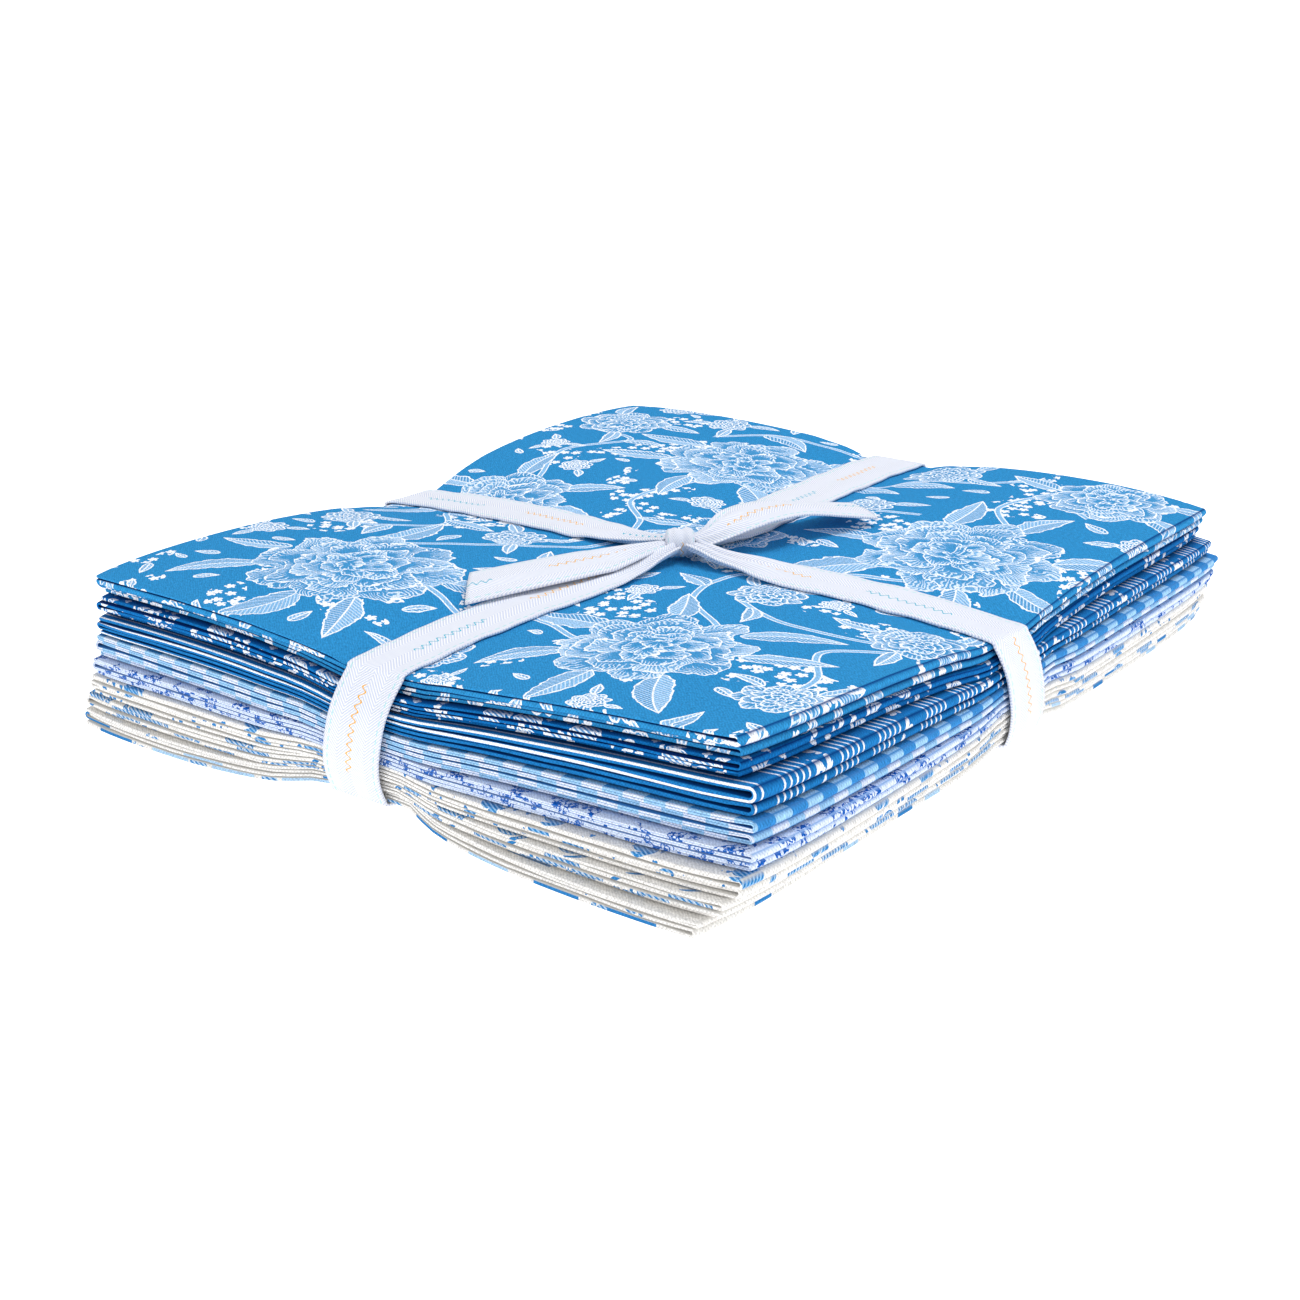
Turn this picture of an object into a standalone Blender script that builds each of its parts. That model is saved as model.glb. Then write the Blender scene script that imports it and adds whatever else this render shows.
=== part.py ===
"""Eight folded lengths of cotton cloth, tied into a flat bundle with twill tape.

Each length is folded in four across, which gives a strip of four plies, and the strip
is folded back and forth into four arms. The sizes here are millimetres, and MM turns
them into metres. X runs along the front of the bundle, Y goes back and Z is up. The
corners are called a (front right), b (front left), c (back left) and d (back right).
"""

import math
from collections import namedtuple
from functools import lru_cache

import bmesh
import bpy
from mathutils import Vector

MM = 0.001
LEAST_LENGTH = 0.00001
BUNDLE = "fabric_bundle"

# The folded cloth
HALF_WIDTH = 114.5
HALF_DEPTH = 133.3
ARMS = 4
ARM_GAP = 0.12
PACKET_GAP = 0.4
TURN_SEGMENTS = 3
TURN_THINNING = 0.86
CORNER_ROUNDING = 3.0
ROUNDING_POWER = 8
FREE_END_SET_BACK = 1.5
SECOND_TURN_SET_BACK = 1.0

# The lines across the cloth where its height is set, measured from the middle between the
# tape on top and the tape below
BAND = 12.0
X_LINES = (-72.0, -32.0, -BAND, BAND, 32.0, 74.0)
Y_LINES = (-92.0, -56.0, -30.0, -BAND, BAND, 34.0, 82.0)

# The twill tape
TAPE_WIDTH = 19.0
TAPE_THICKNESS = 1.0
TAPE_CLEARANCE = 0.5
TAPE_STAND = TAPE_CLEARANCE + TAPE_THICKNESS / 2
GROOVE = 1.85
GROOVE_MARGIN = 2.5
GROOVE_FADE = 15.5
TAIL_WIDTH = 20.0
TAPE_ROUGHNESS = 0.8
CLOTH_ROUGHNESS = 0.85

Corners = namedtuple("Corners", "a b c d")
Packet = namedtuple("Packet", "node colour height right left front back tucks parts")
Run = namedtuple("Run", "at edge depth spread_low spread_high lean lift swell")
TapeRow = namedtuple("TapeRow", "at share rise width")

# The top of the bundle, and how far its corners sag
TOP = Corners(49.8, 47.4, 43.6, 41.6)
SAG = Corners(0.0, 2.2, 2.6, 2.4)
SAG_POWER = 6

# Where the tape leaves each side, the side's place under it, the pull into the cloth there,
# how far the pull spreads to both sides, how far the tape leans on its way down the side,
# how far it lifts the bundle's lower edge and how far the side swells out half way down
FRONT = Run(-2.0, -128.8, 9.2, 28.0, 50.0, -8.0, 1.5, 5.0)
BACK = Run(3.0, 129.5, 5.2, 18.0, 18.0, 0.0, 1.5, 2.0)
LEFT = Run(3.0, -108.0, 9.0, 35.0, 28.0, 0.0, 1.5, 2.0)
RIGHT = Run(-8.0, 115.0, 8.6, 55.0, 50.0, 10.0, 4.0, 2.5)
KNOT_AT = Vector((13.5, -16.0))
KNOT_PULL = 2.4
KNOT_SPREAD = 30.0
FLAT_SHARE = 0.8
SIDE_BAND = 16.0
SIDE_PULL_SPREAD = 23.0
RUN_BEND = 1.4

# Height shares at the corners a b c d, how far the folds reach past the nominal sides
# (right at a d, left at b c, front at a b, back at c d), each arm's tuck at the front and
# each arm's part of the height
PACKETS = (
    Packet("cloth_large_floral", "3F86C6", (7.0, 6.4, 5.8, 6.0),
           (-1.0, 1.5), (-3.0, -1.5), (0.0, -2.0), (-2.0, 0.0), (0.0, 0.6, 2.6, 3.4),
           (0.7, 1.4, 0.95, 0.95)),
    Packet("cloth_small_floral", "1A6DB4", (4.8, 5.6, 5.2, 4.9),
           (-1.5, 0.0), (-3.5, -2.0), (-0.5, -1.8), (-1.0, -1.5), (1.4, 0.2, 0.6, 2.4),
           (1.0, 1.0, 1.0, 1.0)),
    Packet("cloth_ticking", "2F7DC1", (8.2, 5.4, 5.2, 4.8),
           (3.5, 3.0), (-3.5, -2.0), (0.5, -1.5), (0.0, 3.0), (0.4, 0.0, 0.8, 0.5),
           (1.15, 1.15, 0.85, 0.85)),
    Packet("cloth_gingham", "8BBCE2", (7.0, 6.8, 5.6, 5.0),
           (4.0, 5.0), (-2.5, -1.0), (1.5, -1.0), (1.0, 4.5), (0.2, 0.6, 0.0, 1.0),
           (1.0, 1.0, 1.0, 1.0)),
    Packet("cloth_blue_sprig", "C9D6F4", (5.6, 5.2, 5.0, 5.0),
           (5.0, 4.0), (-1.5, -1.0), (4.0, 0.0), (1.0, 4.5), (0.0, 0.5, 0.2, 0.9),
           (1.0, 1.0, 1.0, 1.0)),
    Packet("cloth_dotted", "EFEDE8", (5.8, 5.8, 5.4, 4.8),
           (4.0, 2.0), (0.0, 0.0), (7.0, 0.5), (1.0, 5.0), (0.6, 0.0, 0.9, 0.3),
           (1.3, 1.1, 0.8, 0.8)),
    Packet("cloth_leafy", "F0EEEA", (5.2, 5.2, 5.0, 4.8),
           (0.5, 1.0), (2.0, 1.0), (9.5, 1.0), (0.0, 6.0), (0.3, 0.8, 0.0, 1.2),
           (0.9, 1.3, 0.9, 0.9)),
    Packet("cloth_blocks", "F1EFEB", (5.1, 5.6, 5.3, 5.0),
           (-4.6, -1.0), (3.5, 2.0), (12.0, 1.5), (0.0, 7.0), (0.0, 0.7, 0.4, 0.2),
           (0.9, 0.9, 1.0, 1.2)),
)

# Each free end of tape: its path forward from the knot, to the side and above the cloth, and
# the slant of its cut as a share of its width
TAILS = (
    ("ribbon_tail_front", ((-4.5, -10.0, 4.4), (-9.0, -21.0, 3.8), (-15.0, -34.0, 3.2),
                           (-21.5, -48.0, 2.6), (-28.0, -62.0, 2.2)), -0.55),
    ("ribbon_tail_back", ((3.5, 9.0, 5.4), (6.5, 22.0, 8.4), (11.0, 37.0, 8.2),
                          (16.5, 52.0, 5.2), (22.0, 65.0, 2.8)), -0.13),
)
TAIL_START_WIDTH = 8.0
TAIL_SPREADS_BY = 2
TAPE_COLOUR = "F4F6FC"
KNOT_HALF_SIZE = Vector((6.6, 5.6, 3.6))
ACROSS_START = 5.6
ALONG_START = 5.2
KNOT_SEGMENTS = 20
KNOT_RINGS = 12
KNOT_WRAPS = 3
KNOT_WRAP_DEPTH = 0.10
KNOT_WRAP_TWIST = 2.2
NARROW_WIDTH = 8.0
NARROW_OVER = 32.0

# The tape's rows down a side: how far outside the side, the share of the height and the rise
SIDE_ROWS = ((-4.0, 1.0, 1.0), (0.0, 1.0, 1.0), (0.7, 1.0, 0.7), (1.0, 1.0, 0.0),
             (1.4, 0.85, 0.0), (1.5, 0.68, 0.0), (1.4, 0.5, 0.0), (1.6, 0.32, 0.0),
             (1.9, 0.15, 0.0), (1.0, 0.0, 0.0), (0.7, 0.0, -0.7), (0.0, 0.0, -1.0),
             (-4.0, 0.0, -1.0))


def mix(start, end, share):
    """The value that lies the given share of the way from start to end."""
    return start + (end - start) * share


def over_corners(values, u, v):
    """A value at (u, v), from -1 to 1 each, between the values of the corners a b c d."""
    front = mix(values[1], values[0], (u + 1) / 2)
    back = mix(values[2], values[3], (u + 1) / 2)
    return mix(front, back, (v + 1) / 2)


def run_share(place, knot, edge):
    """How far along a run of tape a place is: 0 at the knot and 1 at the bundle's side."""
    return min(1.0, max(0.0, (place - knot) / (edge - knot)))


def tape_line(place, knot, run_low, run_high, axis):
    """Where the middle of the tape lies across its run, and the run that it is on."""
    run = run_low if place < knot[axis] else run_high
    share = run_share(place, knot[axis], run.edge)
    return mix(run.at, knot[1 - axis], (1 - share) ** RUN_BEND), run, share


def across_y(x):
    """The place in Y of the tape that runs along X."""
    return tape_line(x, KNOT_AT, LEFT, RIGHT, 0)[0]


def along_x(y):
    """The place in X of the tape that runs along Y."""
    return tape_line(y, KNOT_AT, FRONT, BACK, 1)[0]


def lean_x(x):
    """How far the tape that runs along X lies to the back under the bundle."""
    _, run, share = tape_line(x, KNOT_AT, LEFT, RIGHT, 0)
    return run.lean * share ** 2


def lean_y(y):
    """How far the tape that runs along Y lies to the right under the bundle."""
    _, run, share = tape_line(y, KNOT_AT, FRONT, BACK, 1)
    return run.lean * share ** 2


def line_y(x):
    """The place in Y from which the lines across the cloth are measured."""
    return across_y(x) + lean_x(x) / 2


def line_x(y):
    """The place in X from which the lines along the cloth are measured."""
    return along_x(y) + lean_y(y) / 2


def pull(off, place, run_low, run_high, axis):
    """How far a run of tape pulls the cloth down, at a distance off its middle."""
    _, run, share = tape_line(place, KNOT_AT, run_low, run_high, axis)
    side = run.spread_low if off < 0 else run.spread_high
    past = max(0.0, abs(off) - BAND)
    depth = mix(KNOT_PULL, run.depth, share ** 2)
    return depth * math.exp(-past / mix(KNOT_SPREAD, side, share))


def cloth_top(x, y):
    """The height of the bundle's upper face."""
    u = x / HALF_WIDTH
    v = y / HALF_DEPTH
    across = pull(y - across_y(x), x, LEFT, RIGHT, 0)
    along = pull(x - along_x(y), y, FRONT, BACK, 1)
    sag = over_corners(SAG, u, v) * abs(u * v) ** SAG_POWER
    return over_corners(TOP, u, v) - math.hypot(across, along) - sag


def groove(off):
    """The height of the room for the tape under the bundle, at a distance off its middle."""
    past = max(0.0, abs(off) - BAND - GROOVE_MARGIN)
    return GROOVE * max(0.0, 1 - past / GROOVE_FADE)


def side_pull(off):
    """The share of a side's own shape that the tape takes away, at a distance off its middle."""
    return math.exp(-max(0.0, abs(off) - SIDE_BAND) / SIDE_PULL_SPREAD)


def near_side(place, half):
    """How near a place is to a side: 0 over the inner part of the bundle and 1 at the side."""
    return min(1.0, max(0.0, (abs(place) / half - FLAT_SHARE) / (1 - FLAT_SHARE)))


def cloth_floor(x, y):
    """The height of the bundle's lower face."""
    from_across = y - across_y(x) - lean_x(x)
    from_along = x - along_x(y) - lean_y(y)
    lift_x = (LEFT if x < 0 else RIGHT).lift * near_side(x, HALF_WIDTH) * side_pull(from_across)
    lift_y = (FRONT if y < 0 else BACK).lift * near_side(y, HALF_DEPTH) * side_pull(from_along)
    return groove(from_across) + groove(from_along) + max(lift_x, lift_y) - PACKET_GAP / 2


def rounded_reach(reach, along):
    """A side's reach, drawn in towards its corners."""
    return reach - CORNER_ROUNDING * min(1.0, abs(along)) ** ROUNDING_POWER


def swelling(share):
    """How much of a side's swell shows at a share of its height: none at top and bottom."""
    near_end = min(share, 1 - share) * len(PACKETS) / (len(PACKETS) - 1)
    return 1 - (1 - 2 * min(0.5, near_end)) ** 2


def side_place(own, run, index, place):
    """A side's place at the height of a packet, between its own and the one under the tape."""
    tape = run.at + run.lean * (index + 0.5) / len(PACKETS)
    from_end = min(index, len(PACKETS) - 1 - index) / len(PACKETS)
    under_tape = run.edge + math.copysign(run.swell * swelling(from_end), own)
    return mix(own, under_tape, side_pull(place - tape))


def side_x(index, packet, right, y):
    """The place in X of a packet's right or left folds."""
    v = y / HALF_DEPTH
    if right:
        reach = mix(packet.right[0], packet.right[1], (v + 1) / 2)
        run = RIGHT
        sign = 1
    else:
        reach = mix(packet.left[0], packet.left[1], (v + 1) / 2)
        run = LEFT
        sign = -1
    own = sign * (HALF_WIDTH + rounded_reach(reach, v))
    return side_place(own, run, index, y)


def side_y(index, packet, back, x, tuck):
    """The place in Y of a packet's back or front edge."""
    u = x / HALF_WIDTH
    if back:
        reach = mix(packet.back[0], packet.back[1], (u + 1) / 2)
        run = BACK
        sign = 1
    else:
        reach = mix(packet.front[1], packet.front[0], (u + 1) / 2)
        run = FRONT
        sign = -1
    own = sign * (HALF_DEPTH + rounded_reach(reach, u) - tuck)
    return side_place(own, run, index, x)


def node_place(column, row):
    """The place of a crossing of the lines across the cloth, where its height is set."""
    guess = (-HALF_DEPTH, *Y_LINES, HALF_DEPTH)[row]
    x = (-HALF_WIDTH, *(line_x(guess) + line for line in X_LINES), HALF_WIDTH)[column]
    y = (-HALF_DEPTH, *(line_y(x) + line for line in Y_LINES), HALF_DEPTH)[row]
    return x, y


@lru_cache(maxsize=None)
def node_levels(column, row):
    """The heights of the faces between the packets at a crossing, from the floor up."""
    x, y = node_place(column, row)
    shares = [over_corners(packet.height, x / HALF_WIDTH, y / HALF_DEPTH) for packet in PACKETS]
    floor = cloth_floor(x, y)
    scale = (cloth_top(x, y) - floor) / sum(shares)
    return [floor + scale * sum(shares[len(PACKETS) - level:]) for level in range(len(PACKETS) + 1)]


def step_along(place, lines):
    """The number of the line before a place, and the place's share of the way to the next.

    A place past the outer lines keeps the outer step, with a share below 0 or above 1.
    """
    step = sum(1 for line in lines[1:-1] if place >= line)
    return step, (place - lines[step]) / (lines[step + 1] - lines[step])


def levels_at(x, y):
    """The heights of the faces between the packets at any place."""
    row_lines = [line_y(x) + line for line in Y_LINES]
    row, row_share = step_along(y, [-HALF_DEPTH, *row_lines, HALF_DEPTH])
    found = []
    for near in (row, row + 1):
        column_lines = [node_place(column, near)[0] for column in range(len(X_LINES) + 2)]
        column, share = step_along(x, column_lines)
        ends = zip(node_levels(column, near), node_levels(column + 1, near))
        found.append([mix(start, end, share) for start, end in ends])
    return [mix(front, back, row_share) for front, back in zip(*found)]


def top_at(x, y):
    """The height of the upper face as the cloth is built."""
    return levels_at(x, y)[-1] - PACKET_GAP / 2


def floor_at(x, y):
    """The height of the lower face as the cloth is built."""
    return levels_at(x, y)[0] + PACKET_GAP / 2


def arm_layers(index, x, y):
    """The middle height and the thickness of each arm of a packet, from the top."""
    levels = levels_at(x, y)
    low = levels[len(PACKETS) - 1 - index]
    high = levels[len(PACKETS) - index]
    parts = PACKETS[index].parts
    unit = (high - low - PACKET_GAP - ARM_GAP * (ARMS - 1)) / sum(parts)
    top = high - PACKET_GAP / 2
    layers = []
    for part in parts:
        layers.append((top - unit * part / 2, unit * part))
        top -= unit * part + ARM_GAP
    return layers


def turn_reach(layers, arm):
    """How far the turn after an arm reaches past the arms' ends."""
    return (layers[arm][1] + layers[arm + 1][1]) / 2


def arm_columns(index, packet, arm, row):
    """The places in X along an arm, from left to right, on one line across the cloth."""
    places = [node_place(column, row) for column in range(len(X_LINES) + 2)]
    left = side_x(index, packet, False, places[0][1])
    right = side_x(index, packet, True, places[-1][1])
    right -= turn_reach(arm_layers(index, *places[-1]), arm // 2 * 2)
    if 0 < arm < ARMS - 1:
        left += turn_reach(arm_layers(index, *places[0]), 1)
    else:
        left += FREE_END_SET_BACK
    if arm >= 2:
        right -= SECOND_TURN_SET_BACK * (1 - side_pull(places[-1][1] - RIGHT.at))
    return [left] + [x for x, _ in places[1:-1]] + [right]


def row_place(index, packet, arm, row, x):
    """The place in Y of a point of an arm on one line across the cloth."""
    if row == 0:
        return side_y(index, packet, False, x, packet.tucks[arm])
    if row == len(Y_LINES) + 1:
        return side_y(index, packet, True, x, 0.0)
    return line_y(x) + Y_LINES[row - 1]


def strip_points(index, packet, row):
    """The points of the folded strip's middle face along one line, with their thickness."""
    points = []
    for arm in range(ARMS):
        places = arm_columns(index, packet, arm, row)
        if arm % 2 == 1:
            places.reverse()
        for x in places:
            y = row_place(index, packet, arm, row, x)
            height, thickness = arm_layers(index, x, y)[arm]
            points.append((Vector((x, y, height)), thickness))
        if arm < ARMS - 1:
            points += turn_points(index, packet, arm, row, points[-1][0])
    return points


def turn_points(index, packet, arm, row, end):
    """The points round a turn, between the end of one arm and the start of the next."""
    above, below = arm_layers(index, end.x, end.y)[arm:arm + 2]
    radius = (above[0] - below[0]) / 2
    sign = 1 if arm % 2 == 0 else -1
    next_y = row_place(index, packet, arm + 1, row, end.x)
    found = []
    for step in range(1, TURN_SEGMENTS):
        angle = math.pi * step / TURN_SEGMENTS
        x = end.x + sign * radius * math.sin(angle)
        y = mix(end.y, next_y, step / TURN_SEGMENTS)
        height = above[0] - radius * (1 - math.cos(angle))
        thickness = mix(above[1], below[1], step / TURN_SEGMENTS) * TURN_THINNING
        found.append((Vector((x, y, height)), thickness))
    return found


def linear_colour(code):
    """An sRGB hex code as linear red, green, blue and alpha."""
    channels = [int(code[i:i + 2], 16) / 255 for i in (0, 2, 4)]
    linear = [c / 12.92 if c <= 0.04045 else ((c + 0.055) / 1.055) ** 2.4 for c in channels]
    return (*linear, 1.0)


def make_material(name, code, roughness):
    """A plain cloth finish."""
    material = bpy.data.materials.new(name)
    material.use_nodes = True
    shader = material.node_tree.nodes["Principled BSDF"]
    shader.inputs["Base Color"].default_value = linear_colour(code)
    shader.inputs["Roughness"].default_value = roughness
    shader.inputs["Metallic"].default_value = 0.0
    return material


def add_object(mesh, collection, material):
    """An object for a mesh, in the bundle's collection."""
    mesh.materials.append(material)
    mesh.shade_smooth()
    obj = bpy.data.objects.new(mesh.name, mesh)
    collection.objects.link(obj)
    return obj


def add_thickness(obj, thickness, group=""):
    """Turns an open sheet into a closed solid of that thickness."""
    solidify = obj.modifiers.new("thickness", "SOLIDIFY")
    solidify.thickness = thickness * MM
    solidify.offset = 0.0
    solidify.vertex_group = group
    return obj


def split_towards_knot(grid):
    """Splits each four-sided face along its diagonal that passes nearest to the knot.

    The faces of neighbouring layers then bend along the same lines and never cross.
    """
    knot = KNOT_AT * MM
    for face in list(grid.faces):
        pairs = [(face.verts[0], face.verts[2]), (face.verts[1], face.verts[3])]

        def miss(pair):
            start, end = pair[0].co.xy, pair[1].co.xy
            run = end - start
            return abs(run.cross(knot - start)) / max(run.length, LEAST_LENGTH)

        bmesh.utils.face_split(face, *min(pairs, key=miss))


def sheet_mesh(name, rows, weights=None):
    """A grid of rows of points, with a vertex group of weights where they are given."""
    mesh = bpy.data.meshes.new(name)
    grid = bmesh.new()
    across = len(rows[0]) - 1
    bmesh.ops.create_grid(grid, x_segments=across, y_segments=len(rows) - 1, size=1.0)
    deform = grid.verts.layers.deform.verify() if weights else None
    for vertex in grid.verts:
        column = round((vertex.co.x + 1) / 2 * across)
        row = round((vertex.co.y + 1) / 2 * (len(rows) - 1))
        vertex.co = rows[row][column] * MM
        if weights:
            vertex[deform][0] = weights[row][column]
    split_towards_knot(grid)
    grid.to_mesh(mesh)
    grid.free()
    return mesh


def add_packet(index, packet, collection):
    """One length of cloth: an open strip, folded back and forth and given its thickness."""
    lines = [strip_points(index, packet, line) for line in range(len(Y_LINES) + 2)]
    rows = [[point for point, _ in line] for line in lines]
    thickest = max(thickness for line in lines for _, thickness in line)
    weights = [[thickness / thickest for _, thickness in line] for line in lines]
    mesh = sheet_mesh(packet.node, rows, weights)
    material = make_material(packet.node, packet.colour, CLOTH_ROUGHNESS)
    obj = add_object(mesh, collection, material)
    obj.vertex_groups.new(name="loft")
    return add_thickness(obj, thickest, "loft")


def run_width(away):
    """The tape's width at a distance from the knot, where it is drawn narrow."""
    share = min(1.0, away / NARROW_OVER)
    return mix(NARROW_WIDTH, TAPE_WIDTH, share * share * (3 - 2 * share))


def over_top(at, knot):
    """A row of the tape on top of the bundle."""
    return TapeRow(at, 1.0, TAPE_STAND, run_width(abs(at - knot)))


def down_side(run, sign):
    """The rows of the tape down one side of the bundle, round its swell."""
    return [
        TapeRow(run.edge + sign * (out + run.swell * swelling(share)), share, rise, TAPE_WIDTH)
        for out, share, rise in SIDE_ROWS
    ]


def tape_rows(knot, lines, start, low, high):
    """The rows of a run of tape, from one side of the knot round under to the other side."""
    places = [knot + line for line in lines]
    after = [knot + start] + [at for at in places if at > knot + start]
    before = [at for at in places if at < knot - start] + [knot - start]
    rows = [over_top(at, knot) for at in after]
    rows += down_side(high, 1)
    rows += [TapeRow(at, 0.0, -TAPE_STAND, TAPE_WIDTH) for at in reversed(places)]
    rows += reversed(down_side(low, -1))
    return rows + [over_top(at, knot) for at in before]


def across_point(row, off):
    """A point of the run along X, which lies flat under the bundle up to its lifted sides."""
    x = row.at
    y = across_y(x) + off + lean_x(x) * (1 - row.share)
    below = floor_at(x, y) if near_side(x, HALF_WIDTH) else GROOVE
    return Vector((x, y, mix(below, top_at(x, y), row.share) + row.rise))


def along_point(row, off):
    """A point of the run along Y, which passes above the other run under the bundle."""
    y = row.at
    x = along_x(y) - off + lean_y(y) * (1 - row.share)
    return Vector((x, y, mix(floor_at(x, y), top_at(x, y), row.share) + row.rise))


def add_tape(name, rows, point, collection, material):
    """A run of tape through its rows, with the function that gives its points."""
    lines = [[point(row, row.width * share) for row in rows] for share in (-0.5, 0.0, 0.5)]
    return add_thickness(add_object(sheet_mesh(name, lines), collection, material), TAPE_THICKNESS)


def add_tail(name, steps, cut, collection, material):
    """A free end of tape, which leaves the knot narrow and ends in a slanted cut."""
    rows = [[], [], []]
    knot_top = top_at(*KNOT_AT)
    points = [Vector((KNOT_AT.x + x, KNOT_AT.y + y, knot_top + z)) for x, y, z in steps]
    points = [p if i == 0 else clear_of_cloth(p, steps[i][2]) for i, p in enumerate(points)]
    for i, point in enumerate(points):
        ahead = points[min(i + 1, len(points) - 1)]
        behind = points[max(i - 1, 0)]
        run = (ahead - behind).normalized()
        side = Vector((run.y, -run.x, 0.0)).normalized()
        width = mix(TAIL_START_WIDTH, TAIL_WIDTH, min(1.0, i / TAIL_SPREADS_BY))
        for row, share in zip(rows, (-0.5, 0.0, 0.5)):
            slant = run * share * width * cut if i == len(points) - 1 else Vector()
            row.append(point + side * width * share + slant)
    mesh = sheet_mesh(name, rows)
    return add_thickness(add_object(mesh, collection, material), TAPE_THICKNESS)


def clear_of_cloth(point, height):
    """A point of a free end, set above the highest cloth under the tape's width."""
    reach = TAIL_WIDTH / 2
    places = [(point.x + dx, point.y + dy) for dx in (-reach, 0, reach) for dy in (-reach, 0, reach)]
    return Vector((point.x, point.y, max(top_at(*place) for place in places) + height))


def add_knot(name, collection, material):
    """The knot: a flattened ball with the ridges of the tape wrapped round it."""
    mesh = bpy.data.meshes.new(name)
    ball = bmesh.new()
    bmesh.ops.create_uvsphere(ball, u_segments=KNOT_SEGMENTS, v_segments=KNOT_RINGS, radius=1.0)
    for vertex in ball.verts:
        direction = vertex.co.normalized()
        turn = math.atan2(direction.z, direction.y)
        wave = math.cos(KNOT_WRAPS * turn + KNOT_WRAP_TWIST * direction.x)
        ridge = 1 + KNOT_WRAP_DEPTH * wave * (1 - direction.x ** 2)
        scaled = Vector([d * half for d, half in zip(direction, KNOT_HALF_SIZE)])
        vertex.co = scaled * ridge * MM
    ball.to_mesh(mesh)
    ball.free()
    obj = add_object(mesh, collection, material)
    height = top_at(*KNOT_AT) + TAPE_CLEARANCE + KNOT_HALF_SIZE.z * (1 + KNOT_WRAP_DEPTH)
    obj.location = Vector((KNOT_AT.x, KNOT_AT.y, height)) * MM
    return obj


def stand_on_origin(objects):
    """Moves the bundle so that the middle of its bounding box's underside is the origin."""
    bpy.context.view_layer.update()
    graph = bpy.context.evaluated_depsgraph_get()
    corners = [
        obj.matrix_world @ Vector(corner)
        for obj in objects
        for corner in obj.evaluated_get(graph).bound_box
    ]
    low = Vector([min(c[i] for c in corners) for i in range(3)])
    high = Vector([max(c[i] for c in corners) for i in range(3)])
    shift = Vector(((low.x + high.x) / 2, (low.y + high.y) / 2, low.z))
    for obj in objects:
        obj.location -= shift


def main():
    """Clears the scene and builds the bundle."""
    for obj in list(bpy.data.objects):
        bpy.data.objects.remove(obj, do_unlink=True)
    collection = bpy.data.collections.new(BUNDLE)
    bpy.context.scene.collection.children.link(collection)
    objects = [add_packet(index, packet, collection) for index, packet in enumerate(PACKETS)]
    tape = make_material("twill_tape", TAPE_COLOUR, TAPE_ROUGHNESS)
    across = tape_rows(KNOT_AT.x, X_LINES, ACROSS_START, LEFT, RIGHT)
    along = tape_rows(KNOT_AT.y, Y_LINES, ALONG_START, FRONT, BACK)
    objects.append(add_tape("ribbon_across", across, across_point, collection, tape))
    objects.append(add_tape("ribbon_along", along, along_point, collection, tape))
    objects.append(add_knot("ribbon_knot", collection, tape))
    for name, steps, cut in TAILS:
        objects.append(add_tail(name, steps, cut, collection, tape))
    stand_on_origin(objects)


if __name__ == "__main__":
    main()
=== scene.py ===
"""Eight folded lengths of printed cotton, tied into a flat bundle with white twill tape.

Sizes are millimetres, and MM turns them into metres. X runs along the front of the bundle,
Y goes back and Z is up. The corners are called a (front right), b (front left), c (back
left) and d (back right). The sizes are those of the bundle as it was laid out, and the
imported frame's knot gives the step from there to the place where the bundle stands.
"""

from __future__ import annotations

import logging
import math
import random
from dataclasses import dataclass, field
from enum import Enum
from functools import cached_property
from typing import ClassVar

import bmesh
import bpy
import numpy as np
from mathutils import Matrix, Vector

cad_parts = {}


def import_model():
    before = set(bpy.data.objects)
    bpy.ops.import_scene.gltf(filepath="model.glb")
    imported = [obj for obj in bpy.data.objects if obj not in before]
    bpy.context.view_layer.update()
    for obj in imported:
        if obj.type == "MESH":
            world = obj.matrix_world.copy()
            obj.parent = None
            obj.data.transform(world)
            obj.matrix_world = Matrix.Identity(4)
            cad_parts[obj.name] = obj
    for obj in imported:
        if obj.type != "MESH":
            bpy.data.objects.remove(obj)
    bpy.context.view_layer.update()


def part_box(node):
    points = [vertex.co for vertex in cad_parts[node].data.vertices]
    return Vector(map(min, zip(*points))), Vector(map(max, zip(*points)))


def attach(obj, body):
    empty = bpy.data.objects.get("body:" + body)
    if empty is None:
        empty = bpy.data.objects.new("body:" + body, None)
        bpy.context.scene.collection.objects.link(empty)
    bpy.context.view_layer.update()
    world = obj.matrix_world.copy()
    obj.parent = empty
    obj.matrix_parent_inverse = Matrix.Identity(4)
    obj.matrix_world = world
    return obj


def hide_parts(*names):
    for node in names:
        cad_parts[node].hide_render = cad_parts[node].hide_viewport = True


MM = 0.001
LOG = logging.getLogger("fabric_bundle")
Socket = bpy.types.NodeSocket
Array = np.ndarray
Pair = tuple[float, float]
Triple = tuple[float, float, float]


class Way(Enum):
    """The two ways that the tape runs over the bundle, with the number of that axis."""

    ACROSS = 0
    ALONG = 1


class Held(Enum):
    """How a sheet of cloth is held."""

    FOLDED = "folded"
    LAID = "laid"


def mix(start: float, end: float, share: float) -> float:
    """The value, or array of values, the given share of the way from start to end."""
    return start + (end - start) * share


def linear_colour(code: str) -> tuple[float, float, float, float]:
    """Turns a colour into the linear values that a shader takes.

    Args:
        code: the sRGB colour as six hex digits.

    Returns:
        Linear red, green, blue and alpha.
    """
    channels = [int(code[i:i + 2], 16) / 255 for i in (0, 2, 4)]
    linear = [c / 12.92 if c <= 0.04045 else ((c + 0.055) / 1.055) ** 2.4 for c in channels]
    return (*linear, 1.0)


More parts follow.
